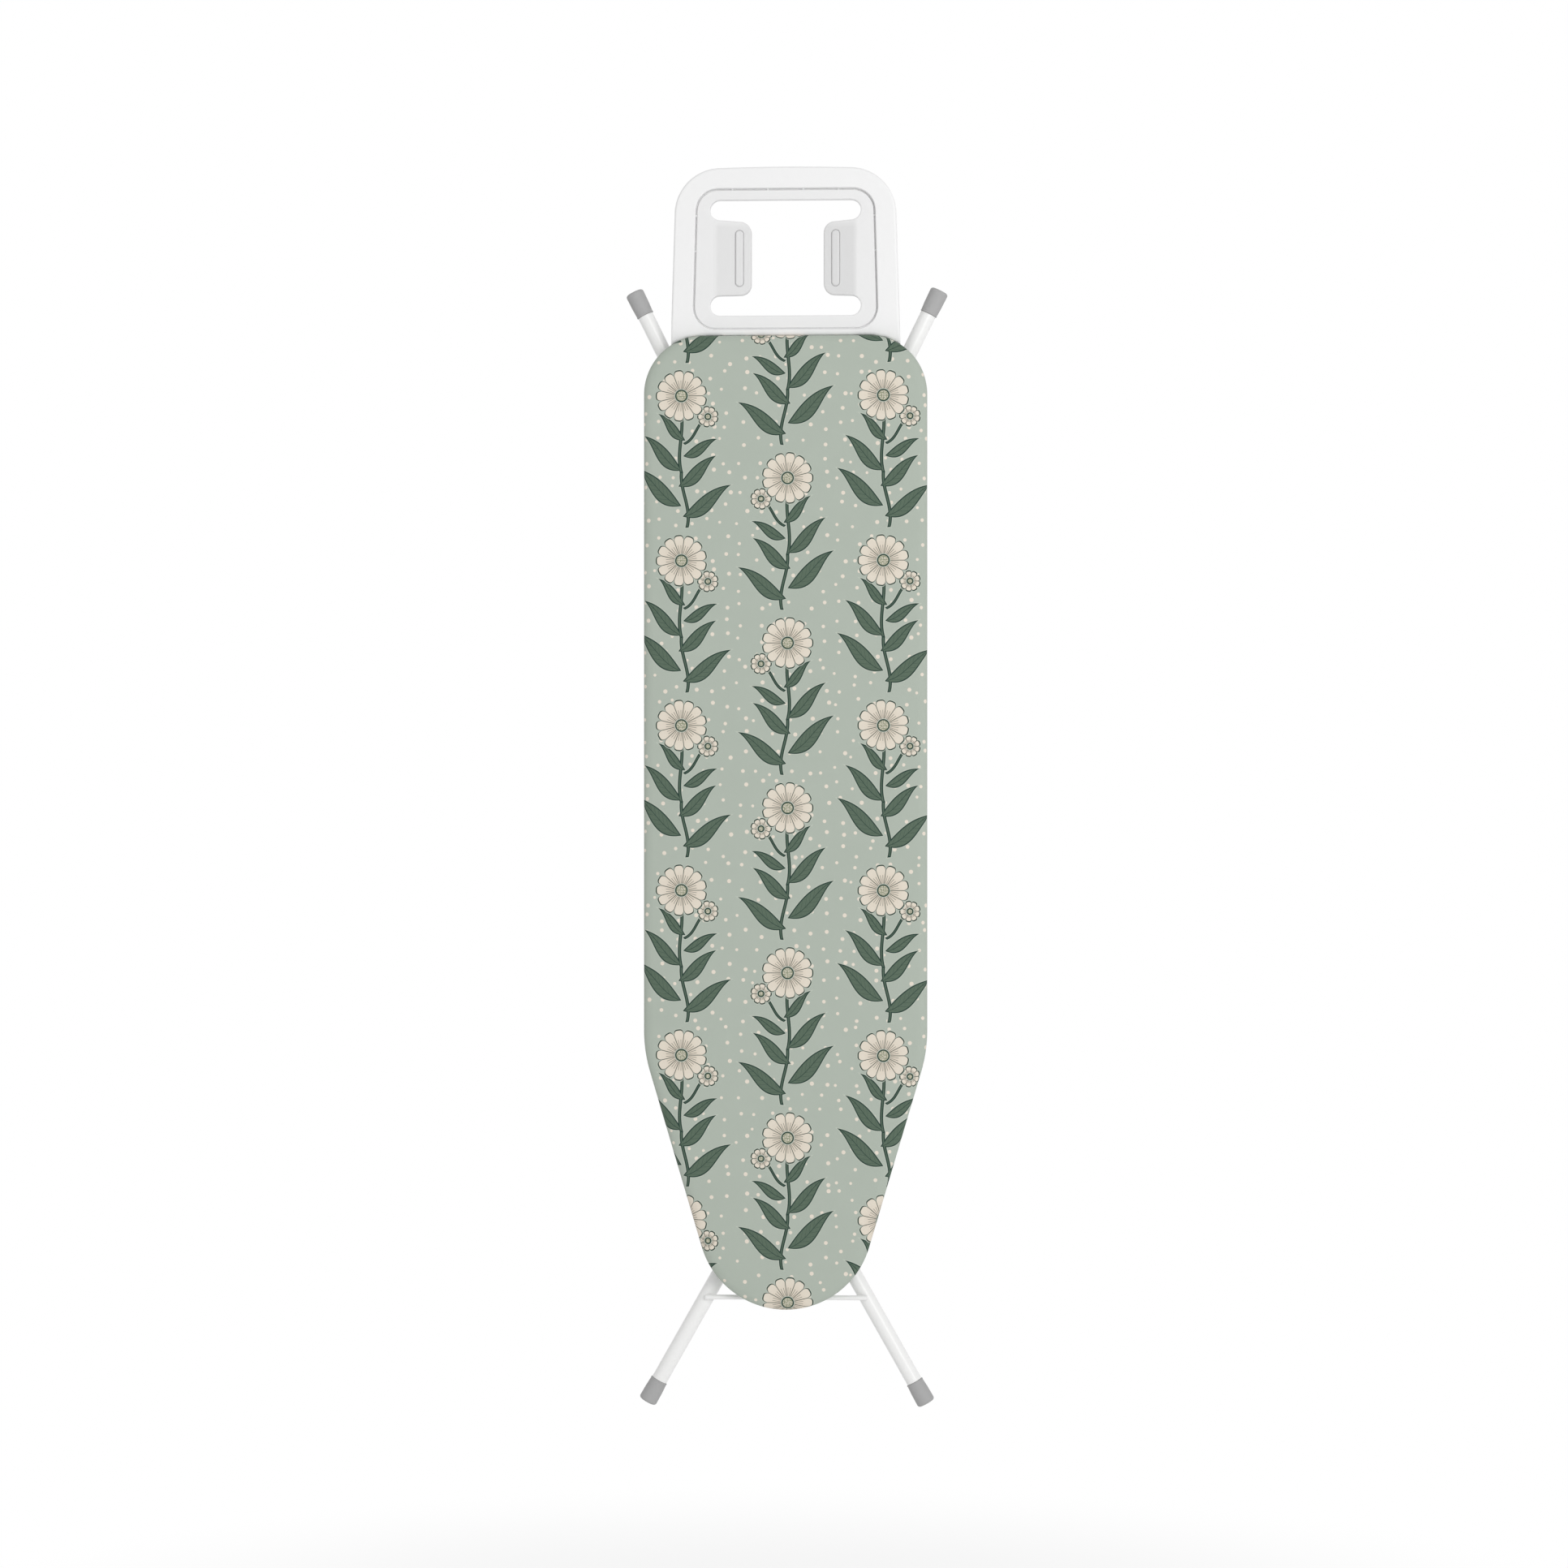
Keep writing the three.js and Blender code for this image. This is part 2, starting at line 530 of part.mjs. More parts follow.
// Torsion spring wound round the lever's pin, from a leg on the bracket's base to the lever's eye.
class SpringPath extends THREE.Curve {
  getPoint(t) {
    const { x, y } = LEVER_PIVOT;
    const radius = 2.5;
    const far = LEVER_HIGH + 7.4;
    const legShare = 0.12;
    if (t < legShare) {
      const left = 1 - t / legShare;
      return new THREE.Vector3(x + 9 * left, y - radius - 1.05 * left, far);
    }
    const wound = (t - legShare) / (1 - legShare);
    const angle = -Math.PI * (0.5 + 2 * 4.25 * wound);
    return new THREE.Vector3(x + radius * Math.cos(angle), y + radius * Math.sin(angle), far - 6.5 * wound);
  }
}

function leverSpring() {
  const section = new THREE.Shape(circle(0.55, 4));
  const settings = { extrudePath: new SpringPath(), steps: 36, bevelEnabled: false };
  const geometry = new THREE.ExtrudeGeometry(section, settings);
  return named('lever_spring', geometry, ZINC);
}

// ---- leg frames ----

// Centre line of a leg tube, visited only at its ends and round its bend.
class LegPath extends THREE.Curve {
  constructor(frame, side, startZ, footLength) {
    super();
    const splay = rad(frame.splayDeg);
    const tangentLength = BEND_RADIUS * Math.tan(splay / 2);
    const bendStart = frame.bendZ - frame.away * tangentLength;
    const steps = 4;
    this.stations = [[frame.x, startZ, 0]];
    for (let i = 0; i <= steps; i += 1) {
      const angle = (splay * i) / steps;
      const x = frame.x + BEND_RADIUS * (1 - Math.cos(angle));
      this.stations.push([x, bendStart + frame.away * BEND_RADIUS * Math.sin(angle), angle]);
    }
    const foot = footCentre(frame);
    const endX = foot.x - footLength * Math.sin(splay);
    const endZ = foot.z - frame.away * footLength * Math.cos(splay);
    this.stations.push([endX, endZ, splay]);
    this.side = side;
    this.away = frame.away;
  }

  station(t) {
    return this.stations[Math.round(t * (this.stations.length - 1))];
  }

  getPoint(t) {
    const [x, z] = this.station(t);
    return new THREE.Vector3(this.side * x, LEG_Y, z);
  }

  getPointAt(t) {
    return this.getPoint(t);
  }

  getTangentAt(t) {
    const angle = this.station(t)[2];
    return new THREE.Vector3(this.side * Math.sin(angle), 0, this.away * Math.cos(angle));
  }
}

// Middle of a foot's end face. Both pairs of feet are as far from the centre pivot.
function footCentre(frame) {
  const lean = rad(INNER.splayDeg);
  const lowest = (FOOT_RADIUS - FOOT_ROUND) * Math.sin(lean) + FOOT_ROUND * (1 - Math.cos(lean));
  const z = CENTRE_Z + frame.away * (CENTRE_Z - lowest);
  return { x: frame.x + Math.abs(z - frame.bendZ) * Math.tan(rad(frame.splayDeg)), z };
}

function legTube(frame, side, startZ) {
  const path = new LegPath(frame, side, startZ, FOOT_LENGTH + GAP);
  const section = new THREE.Shape(circle(TUBE_RADIUS, 16));
  section.holes.push(new THREE.Path(circle(TUBE_BORE, 8)));
  const steps = path.stations.length - 1;
  const tube = solid(new THREE.ExtrudeGeometry(section, { extrudePath: path, steps, bevelEnabled: false }));
  const reach = [frame.x - 15, frame.x + 15].map((x) => side * x).sort((a, b) => a - b);
  const bolt = solid(rodX(BOLT_RADIUS + GAP, ...reach, LEG_Y, CENTRE_Z, 12));
  return geometryOf(cut(tube, bolt));
}

// Plug-in foot: a stem inside the tube, a shoulder on its end and a flared, round-edged body.
function foot() {
  const stem = 16;
  const profile = points([0, -stem], [TUBE_BORE - 1.2, -stem], [TUBE_BORE - 1.2, 0],
    [FOOT_RIM_RADIUS - 0.5, 0], [FOOT_RIM_RADIUS, 0.8]);
  profile.push(...arc(FOOT_RADIUS - FOOT_ROUND, FOOT_LENGTH - FOOT_ROUND, FOOT_ROUND, 0, 90, 3));
  profile.push(new THREE.Vector2(0, FOOT_LENGTH));
  return new THREE.LatheGeometry(profile, 16);
}

function placedFoot(name, frame, side) {
  const splay = rad(frame.splayDeg);
  const direction = new THREE.Vector3(side * Math.sin(splay), 0, frame.away * Math.cos(splay));
  const end = footCentre(frame);
  const mesh = named(name, foot(), GREY_PLASTIC);
  mesh.quaternion.setFromUnitVectors(new THREE.Vector3(0, 1, 0), direction);
  mesh.position.set(side * end.x, LEG_Y, end.z).addScaledVector(direction, -FOOT_LENGTH);
  return mesh;
}

// Cross wire with rounded ends, resting on the board side of a pair of tubes.
function crossWire(frame, z) {
  const reach = frame.x + Math.abs(z - frame.bendZ) * Math.tan(rad(frame.splayDeg)) + 1.5;
  const round = 1.4;
  const profile = [
    new THREE.Vector2(0, -reach),
    ...arc(WIRE_RADIUS - round, round - reach, round, -90, 0, 2),
    ...arc(WIRE_RADIUS - round, reach - round, round, 0, 90, 2),
    new THREE.Vector2(0, reach),
  ];
  const y = LEG_Y - TUBE_RADIUS - GAP - WIRE_RADIUS;
  return new THREE.LatheGeometry(profile, 10).rotateZ(Math.PI / 2).translate(0, y, z);
}

// Bolt of the centre pivot: domed head inside the inner tube, nut outside the outer one.
function pivotBolt(side) {
  const ends = (from, to) => [side * from, side * to].sort((a, b) => a - b);
  const innerFace = INNER.x - TUBE_RADIUS - GAP;
  const outerFace = OUTER.x + TUBE_RADIUS + GAP;
  const shank = solid(rodX(BOLT_RADIUS, ...ends(innerFace - 1, outerFace + 5.5), LEG_Y, CENTRE_Z, 12));
  const head = solid(rodX(6, ...ends(innerFace - 2.6, innerFace), LEG_Y, CENTRE_Z, 16));
  const nut = solid(rodX(5.8, ...ends(outerFace, outerFace + 4.2), LEG_Y, CENTRE_Z, 6));
  return geometryOf(join(shank, head, nut));
}

// Washer that keeps the crossing tubes apart.
function pivotSpacer(side) {
  const faces = [INNER.x + TUBE_RADIUS + GAP, OUTER.x - TUBE_RADIUS - GAP];
  const ends = faces.map((x) => side * x).sort((a, b) => a - b);
  const disc = solid(rodX(8, ...ends, LEG_Y, CENTRE_Z, 16));
  const bore = solid(rodX(BOLT_RADIUS + GAP, ends[0] - 1, ends[1] + 1, LEG_Y, CENTRE_Z, 12));
  return geometryOf(cut(disc, bore));
}

// Nylon sleeve on the slide bar, running in the slot of one web of the rack.
function slideGlide(side) {
  const ends = [27, 33].map((x) => side * x).sort((a, b) => a - b);
  const z = CENTRE_Z - ARM;
  const sleeve = solid(rodX(GLIDE_RADIUS, ...ends, ROD_Y, z, 20));
  const bore = solid(rodX(SLIDE_NECK.radius + GAP, ends[0] - 1, ends[1] + 1, ROD_Y, z, 14));
  return geometryOf(cut(sleeve, bore));
}

// Rod across the inner tubes' upper ends, on which the whole leg frame turns.
function pivotRod(z) {
  const reach = INNER.x + TUBE_RADIUS;
  return named('inner_pivot_rod', rodX(PIVOT_ROD_RADIUS, -reach, reach, ROD_Y, z, 16), WHITE_ENAMEL);
}

// Bar across the outer tubes' lower ends, turned down to a neck that runs in the rack.
function slideBar(z) {
  const reach = OUTER.x + TUBE_RADIUS;
  const profile = points([0, -reach], [PIVOT_ROD_RADIUS, -reach], [PIVOT_ROD_RADIUS, -SLIDE_NECK.reach],
    [SLIDE_NECK.radius, -SLIDE_NECK.reach], [SLIDE_NECK.radius, SLIDE_NECK.reach],
    [PIVOT_ROD_RADIUS, SLIDE_NECK.reach], [PIVOT_ROD_RADIUS, reach], [0, reach]);
  const geometry = new THREE.LatheGeometry(profile, 16).rotateZ(Math.PI / 2).translate(0, ROD_Y, z);
  return named('slide_bar', geometry, WHITE_ENAMEL);
}

// ---- assembly ----

function boardPieces() {
  return [
    cover(), pad(), meshPanel(), edgeFrame(), ironRest(), restCrossmember(),
    named('rest_strap_left', restStrap(-1), WHITE_ENAMEL),
    named('rest_strap_right', restStrap(1), WHITE_ENAMEL),
    ...numbered('rest_screw', restScrewPlaces(), REST_FRONT + REST_WALL + 6),
    ...numbered('strap_rivet', strapRivetPlaces(), HEM_BACK - SHEET - 1),
    pivotBracket(), heightRack(), leverBracket(), leverPin(), leverSpring(),
    releasePlate(), releaseLever(), leverGrip(),
  ];
}

function innerFrame() {
  const top = CENTRE_Z + ARM;
  return [
    named('inner_tube_left', legTube(INNER, -1, top + TUBE_OVERHANG), WHITE_ENAMEL),
    named('inner_tube_right', legTube(INNER, 1, top + TUBE_OVERHANG), WHITE_ENAMEL),
    pivotRod(top),
    named('inner_cross_wire', crossWire(INNER, 120.7), WHITE_ENAMEL),
    placedFoot('inner_foot_left', INNER, -1),
    placedFoot('inner_foot_right', INNER, 1),
  ];
}

function outerFrame() {
  const low = CENTRE_Z - ARM;
  return [
    named('outer_tube_left', legTube(OUTER, -1, low - TUBE_OVERHANG), WHITE_ENAMEL),
    named('outer_tube_right', legTube(OUTER, 1, low - TUBE_OVERHANG), WHITE_ENAMEL),
    slideBar(low),
    named('slide_glide_left', slideGlide(-1), GREY_PLASTIC),
    named('slide_glide_right', slideGlide(1), GREY_PLASTIC),
    named('outer_cross_wire', crossWire(OUTER, 1098), WHITE_ENAMEL),
    placedFoot('outer_foot_left', OUTER, -1),
    placedFoot('outer_foot_right', OUTER, 1),
    named('pivot_bolt_left', pivotBolt(-1), ZINC),
    named('pivot_bolt_right', pivotBolt(1), ZINC),
    named('pivot_spacer_left', pivotSpacer(-1), GREY_PLASTIC),
    named('pivot_spacer_right', pivotSpacer(1), GREY_PLASTIC),
  ];
}

const ironingBoard = new THREE.Group();
ironingBoard.name = 'ironing_board';
ironingBoard.add(...boardPieces(), ...innerFrame(), ...outerFrame());
ironingBoard.position.copy(HANG).negate();

export default ironingBoard;
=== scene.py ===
"""A folding ironing board hung up by its iron rest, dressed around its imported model."""

from __future__ import annotations

import json
import logging
import math
from dataclasses import dataclass
from enum import Enum
from functools import reduce
from itertools import accumulate
from typing import Any, Iterable, Sequence

import bmesh
import bpy
from bmesh.types import BMEdge, BMesh, BMVert
from bpy.types import ID, Material, Mesh, NodeSocket, NodeTree, Object, World
from mathutils import Matrix, Vector, noise

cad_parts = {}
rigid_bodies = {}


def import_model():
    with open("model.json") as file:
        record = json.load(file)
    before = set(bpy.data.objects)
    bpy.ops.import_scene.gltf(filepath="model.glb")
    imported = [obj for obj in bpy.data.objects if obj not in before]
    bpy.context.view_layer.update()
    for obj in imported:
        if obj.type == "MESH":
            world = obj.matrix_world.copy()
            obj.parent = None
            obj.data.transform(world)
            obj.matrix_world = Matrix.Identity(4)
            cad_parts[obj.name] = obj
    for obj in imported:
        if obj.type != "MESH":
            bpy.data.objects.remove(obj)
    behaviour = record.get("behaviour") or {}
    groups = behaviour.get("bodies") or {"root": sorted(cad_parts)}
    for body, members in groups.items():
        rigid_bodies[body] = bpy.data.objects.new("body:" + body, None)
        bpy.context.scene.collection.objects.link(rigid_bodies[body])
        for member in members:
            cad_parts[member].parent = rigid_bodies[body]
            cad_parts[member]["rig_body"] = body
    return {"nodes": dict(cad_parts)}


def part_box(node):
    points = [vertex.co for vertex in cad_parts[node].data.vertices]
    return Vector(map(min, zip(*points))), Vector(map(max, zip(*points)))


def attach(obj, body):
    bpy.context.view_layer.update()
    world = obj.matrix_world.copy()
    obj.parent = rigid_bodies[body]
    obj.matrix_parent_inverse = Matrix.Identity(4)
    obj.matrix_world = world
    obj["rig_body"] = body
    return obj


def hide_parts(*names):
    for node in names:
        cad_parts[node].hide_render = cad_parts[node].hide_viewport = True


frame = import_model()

LOG = logging.getLogger("ironing_board")
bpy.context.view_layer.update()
MM = 0.001
WELD = 0.002 * MM
COVER_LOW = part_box("cover")[0]
TONGUES = (COVER_LOW.z + 1.1436, COVER_LOW.z + 1.2263)
SIDES = {-1: "left", 1: "right"}
ACROSS, BACK = Vector((1, 0, 0)), Vector((0, 1, 0))
TO_FRONT = Matrix(((1, 0, 0, 0), (0, 0, -1, 0), (0, 1, 0, 0), (0, 0, 0, 1)))
Profile = list[tuple[float, float]]


class Body(Enum):
    """The bodies of the model that pieces ride on."""

    BOARD = "board"
    INNER = "inner_frame"
    OUTER = "outer_frame"
    LEVER = "lever"
    RELEASE = "release"


class Slot(Enum):
    """The record's material slots."""

    COTTON = "printed_cotton"
    FELT = "felt"
    ENAMEL = "white_enamel"
    MOULDING = "white_plastic"
    RUBBER = "grey_plastic"
    ZINC = "zinc_steel"


# ---- places and mesh work shared by all pieces ----


def at(x: float, depth: float, height: float) -> Vector:
    """Returns the place at some millimetres across, behind the cover's front and above the nose's tip."""
    return Vector((x * MM, COVER_LOW.y + depth * MM, COVER_LOW.z + height * MM))


def height_of(place: Vector) -> float:
    """Returns a place's height above the nose's tip, in millimetres."""
    return (place.z - COVER_LOW.z) / MM


def pairs(loop: Sequence[Any]) -> Iterable[tuple[Any, Any]]:
    """Pairs each entry of a closed loop with the next one."""
    return zip(loop, [*loop[1:], loop[0]])


def travelled(chain: Sequence[Sequence[float]]) -> list[float]:
    """Returns how far along an open chain of points each of them lies."""
    return [0.0, *accumulate(math.dist(a, b) for a, b in zip(chain, chain[1:]))]


@dataclass(frozen=True)
class Arc:
    """One rounded corner of an outline, in millimetres and degrees, run clockwise unless hollow."""

    x: float
    z: float
    radius: float
    start: float
    end: float
    steps: int

    def mirrored(self) -> Arc:
        """Returns the same corner on the other side of the centre line."""
        return Arc(-self.x, self.z, self.radius, 180 - self.end, 180 - self.start, self.steps)

    def point(self, degrees: float) -> tuple[float, float]:
        """Returns the corner's point at an angle, across and up, in millimetres."""
        turn = math.radians(degrees)
        return self.x + self.radius * math.cos(turn), self.z + self.radius * math.sin(turn)


@dataclass(frozen=True)
class Outline:
    """A closed outline of arcs joined by straight runs."""

    run: float = 12.0

    def arcs(self, inset: float) -> list[Arc]:
        """Lists the arcs, clockwise from the top right, of the outline moved inwards by some millimetres."""
        raise NotImplementedError

    def limit(self, inset: float) -> list[Vector]:
        """Lists 13 points along each arc, across and up, in millimetres."""
        steps = [i / 12 for i in range(13)]
        return [Vector(a.point(a.start + (a.end - a.start) * s)) for a in self.arcs(inset) for s in steps]

    def points(self, inset: float, depth: float) -> list[Vector]:
        """Draws the outline in a mesh of its own and lists where its vertices lie.

        Args:
            inset: Millimetres that the outline moves inwards.
            depth: Millimetres behind the cover's front face.

        Returns:
            The places in order, in metres, as many whatever the inset.
        """
        bm = bmesh.new()
        chains = [self._chain(bm, arc, depth) for arc in self.arcs(inset)]
        places: list[Vector] = []
        for (chain, following), (a, b) in zip(pairs(chains), pairs(self.arcs(0.0))):
            count = max(1, math.ceil(math.dist(a.point(a.end), b.point(b.start)) / self.run))
            places.extend(v.co.copy() for v in chain)
            places.extend(chain[-1].co.lerp(following[0].co, j / count) for j in range(1, count))
        bm.free()
        return places

    def ring(self, bm: BMesh, inset: float, depth: float) -> list[BMVert]:
        """Draws the outline as a closed loop of edges.

        Args:
            bm: The mesh that gets the loop.
            inset: Millimetres that the outline moves inwards.
            depth: Millimetres behind the cover's front face.

        Returns:
            The loop's vertices in order.
        """
        loop = [bm.verts.new(place) for place in self.points(inset, depth)]
        for pair in pairs(loop):
            bm.edges.new(pair)
        return loop

    def _chain(self, bm: BMesh, arc: Arc, depth: float) -> list[BMVert]:
        """Spins one vertex along an arc.

        Args:
            bm: The mesh that gets the chain.
            arc: The arc to follow.
            depth: Millimetres behind the cover's front face.

        Returns:
            The vertices of the chain that it leaves, in order.
        """
        x, z = arc.point(arc.start)
        chain = [bm.verts.new(at(x, depth, z))]
        bmesh.ops.spin(bm, geom=chain[:], cent=at(arc.x, depth, arc.z), axis=-BACK,
                       angle=math.radians(arc.end - arc.start), steps=arc.steps, use_duplicate=False)
        while ahead := [v for e in chain[-1].link_edges if (v := e.other_vert(chain[-1])) not in chain[-2:]]:
            chain += ahead
        return chain


def enclosed(place: Vector, limit: Sequence[Vector]) -> bool:
    """Tells whether a place lies within a convex clockwise outline of millimetres across and up."""
    x, z = place.x / MM, height_of(place)
    return all((b.x - a.x) * (z - a.y) - (b.y - a.y) * (x - a.x) <= 1e-9 for a, b in pairs(limit))


def edges_of(ring: Sequence[BMVert]) -> list[BMEdge]:
    """Returns the edges of a closed loop of vertices."""
    return [next(e for e in v.link_edges if e.other_vert(v) is w) for v, w in pairs(ring)]


def extruded(bm: BMesh, edges: Sequence[BMEdge], offset: Sequence[float] = (0, 0, 0)) -> list[BMEdge]:
    """Extrudes edges and moves what is new.

    Args:
        bm: The mesh that holds the edges.
        edges: The edges to extrude.
        offset: How far the new edges move, in metres.

    Returns:
        The new edges.
    """
    made = bmesh.ops.extrude_edge_only(bm, edges=edges)["geom"]
    fresh = {g for g in made if isinstance(g, BMVert)}
    bmesh.ops.translate(bm, verts=list(fresh), vec=offset)
    return [g for g in made if isinstance(g, BMEdge) and set(g.verts) <= fresh]


def band(bm: BMesh, outline: Outline, profile: Profile) -> list[list[BMVert]]:
    """Draws an outline and extrudes it along a profile.

    Args:
        bm: The mesh that gets the band.
        outline: The outline to follow.
        profile: Pairs of inset and depth, in millimetres.

    Returns:
        The loops, in the profile's order.
    """
    rings = [outline.ring(bm, *profile[0])]
    for inset, depth in profile[1:]:
        fresh = {v for e in extruded(bm, edges_of(rings[-1])) for v in e.verts}
        rings.append([next(w for e in v.link_edges if (w := e.other_vert(v)) in fresh) for v in rings[-1]])
        for v, place in zip(rings[-1], outline.points(inset, depth)):
            v.co = place
    return rings


def rounding(inset: float, depth: float, across: float, deep: float, steps: int) -> Profile:
    """Rounds an edge from its side to its front, or the other way where its reach is below 0.

    Args:
        inset: Where the side stands, in millimetres.
        depth: Where the front stands.
        across: How far in the rounding reaches.
        deep: How far back it reaches.
        steps: How many steps it has.

    Returns:
        Pairs of inset and depth from the side to the front.
    """
    turns = [math.pi / 2 * i / steps for i in range(steps + 1)]
    return [(inset + across * (1 - math.cos(t)), depth + deep * (1 - math.sin(t))) for t in turns]


def framed(bm: BMesh, rim: Sequence[BMEdge], place: Matrix, count: int, half: float,
           limit: Sequence[Vector]) -> list[BMVert]:
    """Adds the part of a grid that lies within a limit and fills up to a rim round it.

    Args:
        bm: The mesh that gets the grid.
        rim: The edges round the grid.
        place: Lays out the grid, which faces up at first.
        count: How many squares it has each way.
        half: Half its side.
        limit: The outline that its squares keep inside, in millimetres.

    Returns:
        The grid's vertices.
    """
    made = bmesh.ops.create_grid(bm, x_segments=count, y_segments=count, size=half, matrix=place)["verts"]
    faces = dict.fromkeys(f for v in made for f in v.link_faces)
    outside = [f for f in faces if not all(enclosed(v.co, limit) for v in f.verts)]
    bmesh.ops.delete(bm, geom=outside, context="FACES")
    grid = [v for v in made if v.is_valid]
    jagged = dict.fromkeys(e for v in grid for e in v.link_edges if e.is_boundary)
    bmesh.ops.triangle_fill(bm, use_beauty=True, edges=[*jagged, *rim])
    return grid


def turned(bm: BMesh, profile: Profile, start: Vector, along: Vector, segments: int) -> None:
    """Turns a profile about an axis, as on a lathe.

    Args:
        bm: The mesh that gets the turned form.
        profile: Pairs of radius and length along the axis, in millimetres.
        start: Where length 0 lies, in metres.
        along: The axis, of length 1.
        segments: How many facets go round.
    """
    across = along.orthogonal().normalized()
    verts = [bm.verts.new(start + across * (r * MM) + along * (length * MM)) for r, length in profile]
    edges = [bm.edges.new(pair) for pair in zip(verts, verts[1:])]
    bmesh.ops.spin(bm, geom=[*verts, *edges], cent=start, axis=along, angle=math.tau, steps=segments,
                   use_merge=True, use_duplicate=False)


def bevelled(bm: BMesh, edges: Sequence[BMEdge], size: float) -> None:
    """Rounds edges off by some millimetres."""
    bmesh.ops.bevel(bm, geom=edges, offset=size * MM, affect="EDGES", segments=2, profile=0.5, material=-1,
                    clamp_overlap=True)


def cuboid(bm: BMesh, low: Vector, high: Vector, edge: float) -> None:
    """Adds a box between two corners.

    Args:
        bm: The mesh that gets the box.
        low: Its lowest corner, in metres.
        high: Its highest corner.
        edge: How far its edges are rounded, in millimetres.
    """
    made = bmesh.ops.create_cube(bm, size=1.0)["verts"]
    bmesh.ops.scale(bm, vec=high - low, verts=made)
    bmesh.ops.translate(bm, vec=(low + high) / 2, verts=made)
    bevelled(bm, list({e for v in made for e in v.link_edges}), edge)


def turn_to_front(bm: BMesh) -> None:
    """Turns an open moulded surface so that its faces point outwards, to the front where they lie flat.

    Args:
        bm: The mesh that holds the surface.
    """
    bmesh.ops.remove_doubles(bm, verts=bm.verts, dist=WELD)
    bmesh.ops.recalc_face_normals(bm, faces=bm.faces)
    if sum(f.normal.y * f.calc_area() for f in bm.faces) > 0:
        bmesh.ops.reverse_faces(bm, faces=bm.faces)


def meshed(bm: BMesh, name: str) -> Mesh:
    """Turns a mesh under work into a mesh of the file.

    Args:
        bm: The mesh under work, which is used up.
        name: The name of the new one.

    Returns:
        The new mesh.
    """
    mesh = bpy.data.meshes.new(name)
    bm.to_mesh(mesh)
    bm.free()
    return mesh


def placed(name: str, data: ID) -> Object:
    """Adds an object to the scene.

    Args:
        name: The object's name.
        data: Its mesh, lamp or camera.

    Returns:
        The object.
    """
    made = bpy.data.objects.new(name, data)
    bpy.context.scene.collection.objects.link(made)
    return made


def finished(bm: BMesh, name: str, finish: Finish, body: Body, node: str, sheet: float = 0.0,
             sharp: float = 38.0, recalculated: bool = True) -> Object:
    """Makes a piece of a mesh, smooths it and lets it ride on its body.

    Args:
        bm: The mesh, which is used up.
        name: The piece's name.
        finish: Its finish.
        body: The body that it moves with.
        node: The node that it stands for, alone or with other pieces.
        sheet: Millimetres of wall to give an open surface, inwards.
        sharp: Degrees above which an edge stays sharp.
        recalculated: Whether its faces are turned outwards first.

    Returns:
        The piece's object.
    """
    bmesh.ops.remove_doubles(bm, verts=bm.verts, dist=WELD)
    if recalculated:
        bmesh.ops.recalc_face_normals(bm, faces=bm.faces)
    mesh = meshed(bm, name)
    mesh.shade_smooth()
    mesh.set_sharp_from_angle(angle=math.radians(sharp))
    mesh.materials.append(finish.material())
    piece = placed(name, mesh)
    if sheet:
        piece.modifiers.new("wall", "SOLIDIFY").thickness = sheet * MM
    piece.modifiers.new("shading", "WEIGHTED_NORMAL").keep_sharp = True
    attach(piece, body.value)
    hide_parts(node)
    LOG.info("%s: %d faces on %s", name, len(mesh.polygons), body.value)
    return piece


# ---- finishes ----


def linear(hex_colour: str) -> tuple[float, float, float, float]:
    """Turns an sRGB hex colour into the linear colour that a shader takes.

    Args:
        hex_colour: Six hex digits after a hash.

    Returns:
        Red, green, blue and a full alpha.
    """
    parts = [int(hex_colour[i:i + 2], 16) / 255 for i in (1, 3, 5)]
    red, green, blue = (p / 12.92 if p <= 0.04045 else ((p + 0.055) / 1.055) ** 2.4 for p in parts)
    return red, green, blue, 1.0


def emptied(owner: Material | World) -> NodeTree:
    """Gives a material or a world an empty tree of nodes.

    Args:
        owner: What gets the tree.

    Returns:
        The tree.
    """
    owner.use_nodes = True
    owner.node_tree.nodes.clear()
    return owner.node_tree


def add(tree: NodeTree, kind: str, *values: Any, out: int = 0, **named: Any) -> NodeSocket:
    """Adds a node with its settings and links.

    Args:
        tree: The tree that gets the node.
        kind: The node's type after "ShaderNode", then its operation or its type of data, if it has one.
            All in capitals, it is the operation of a Math node.
        values: What its first inputs in use take: a socket to link, a constant, or a colour in hex.
        out: Which output in use to return.
        named: Its properties, in small letters, and what other inputs take, with underscores for spaces.

    Returns:
        The chosen output.
    """
    kind, _, choice = kind.partition(" ") if not kind.isupper() else ("Math", "", kind)
    node = tree.nodes.new("ShaderNode" + kind)
    if choice:
        named["data_type" if kind == "Mix" else "operation"] = choice
    for key in filter(str.islower, named):
        setattr(node, key, named[key])
    inputs = [*zip([s for s in node.inputs if s.enabled], values)]
    inputs += [(node.inputs[key.replace("_", " ")], named[key]) for key in named if not key.islower()]
    for socket, value in inputs:
        if isinstance(value, NodeSocket):
            tree.links.new(value, socket)
        else:
            socket.default_value = linear(value) if isinstance(value, str) else value
    outputs = [s for s in node.outputs if s.enabled]
    return outputs[out] if outputs else node.inputs[0]


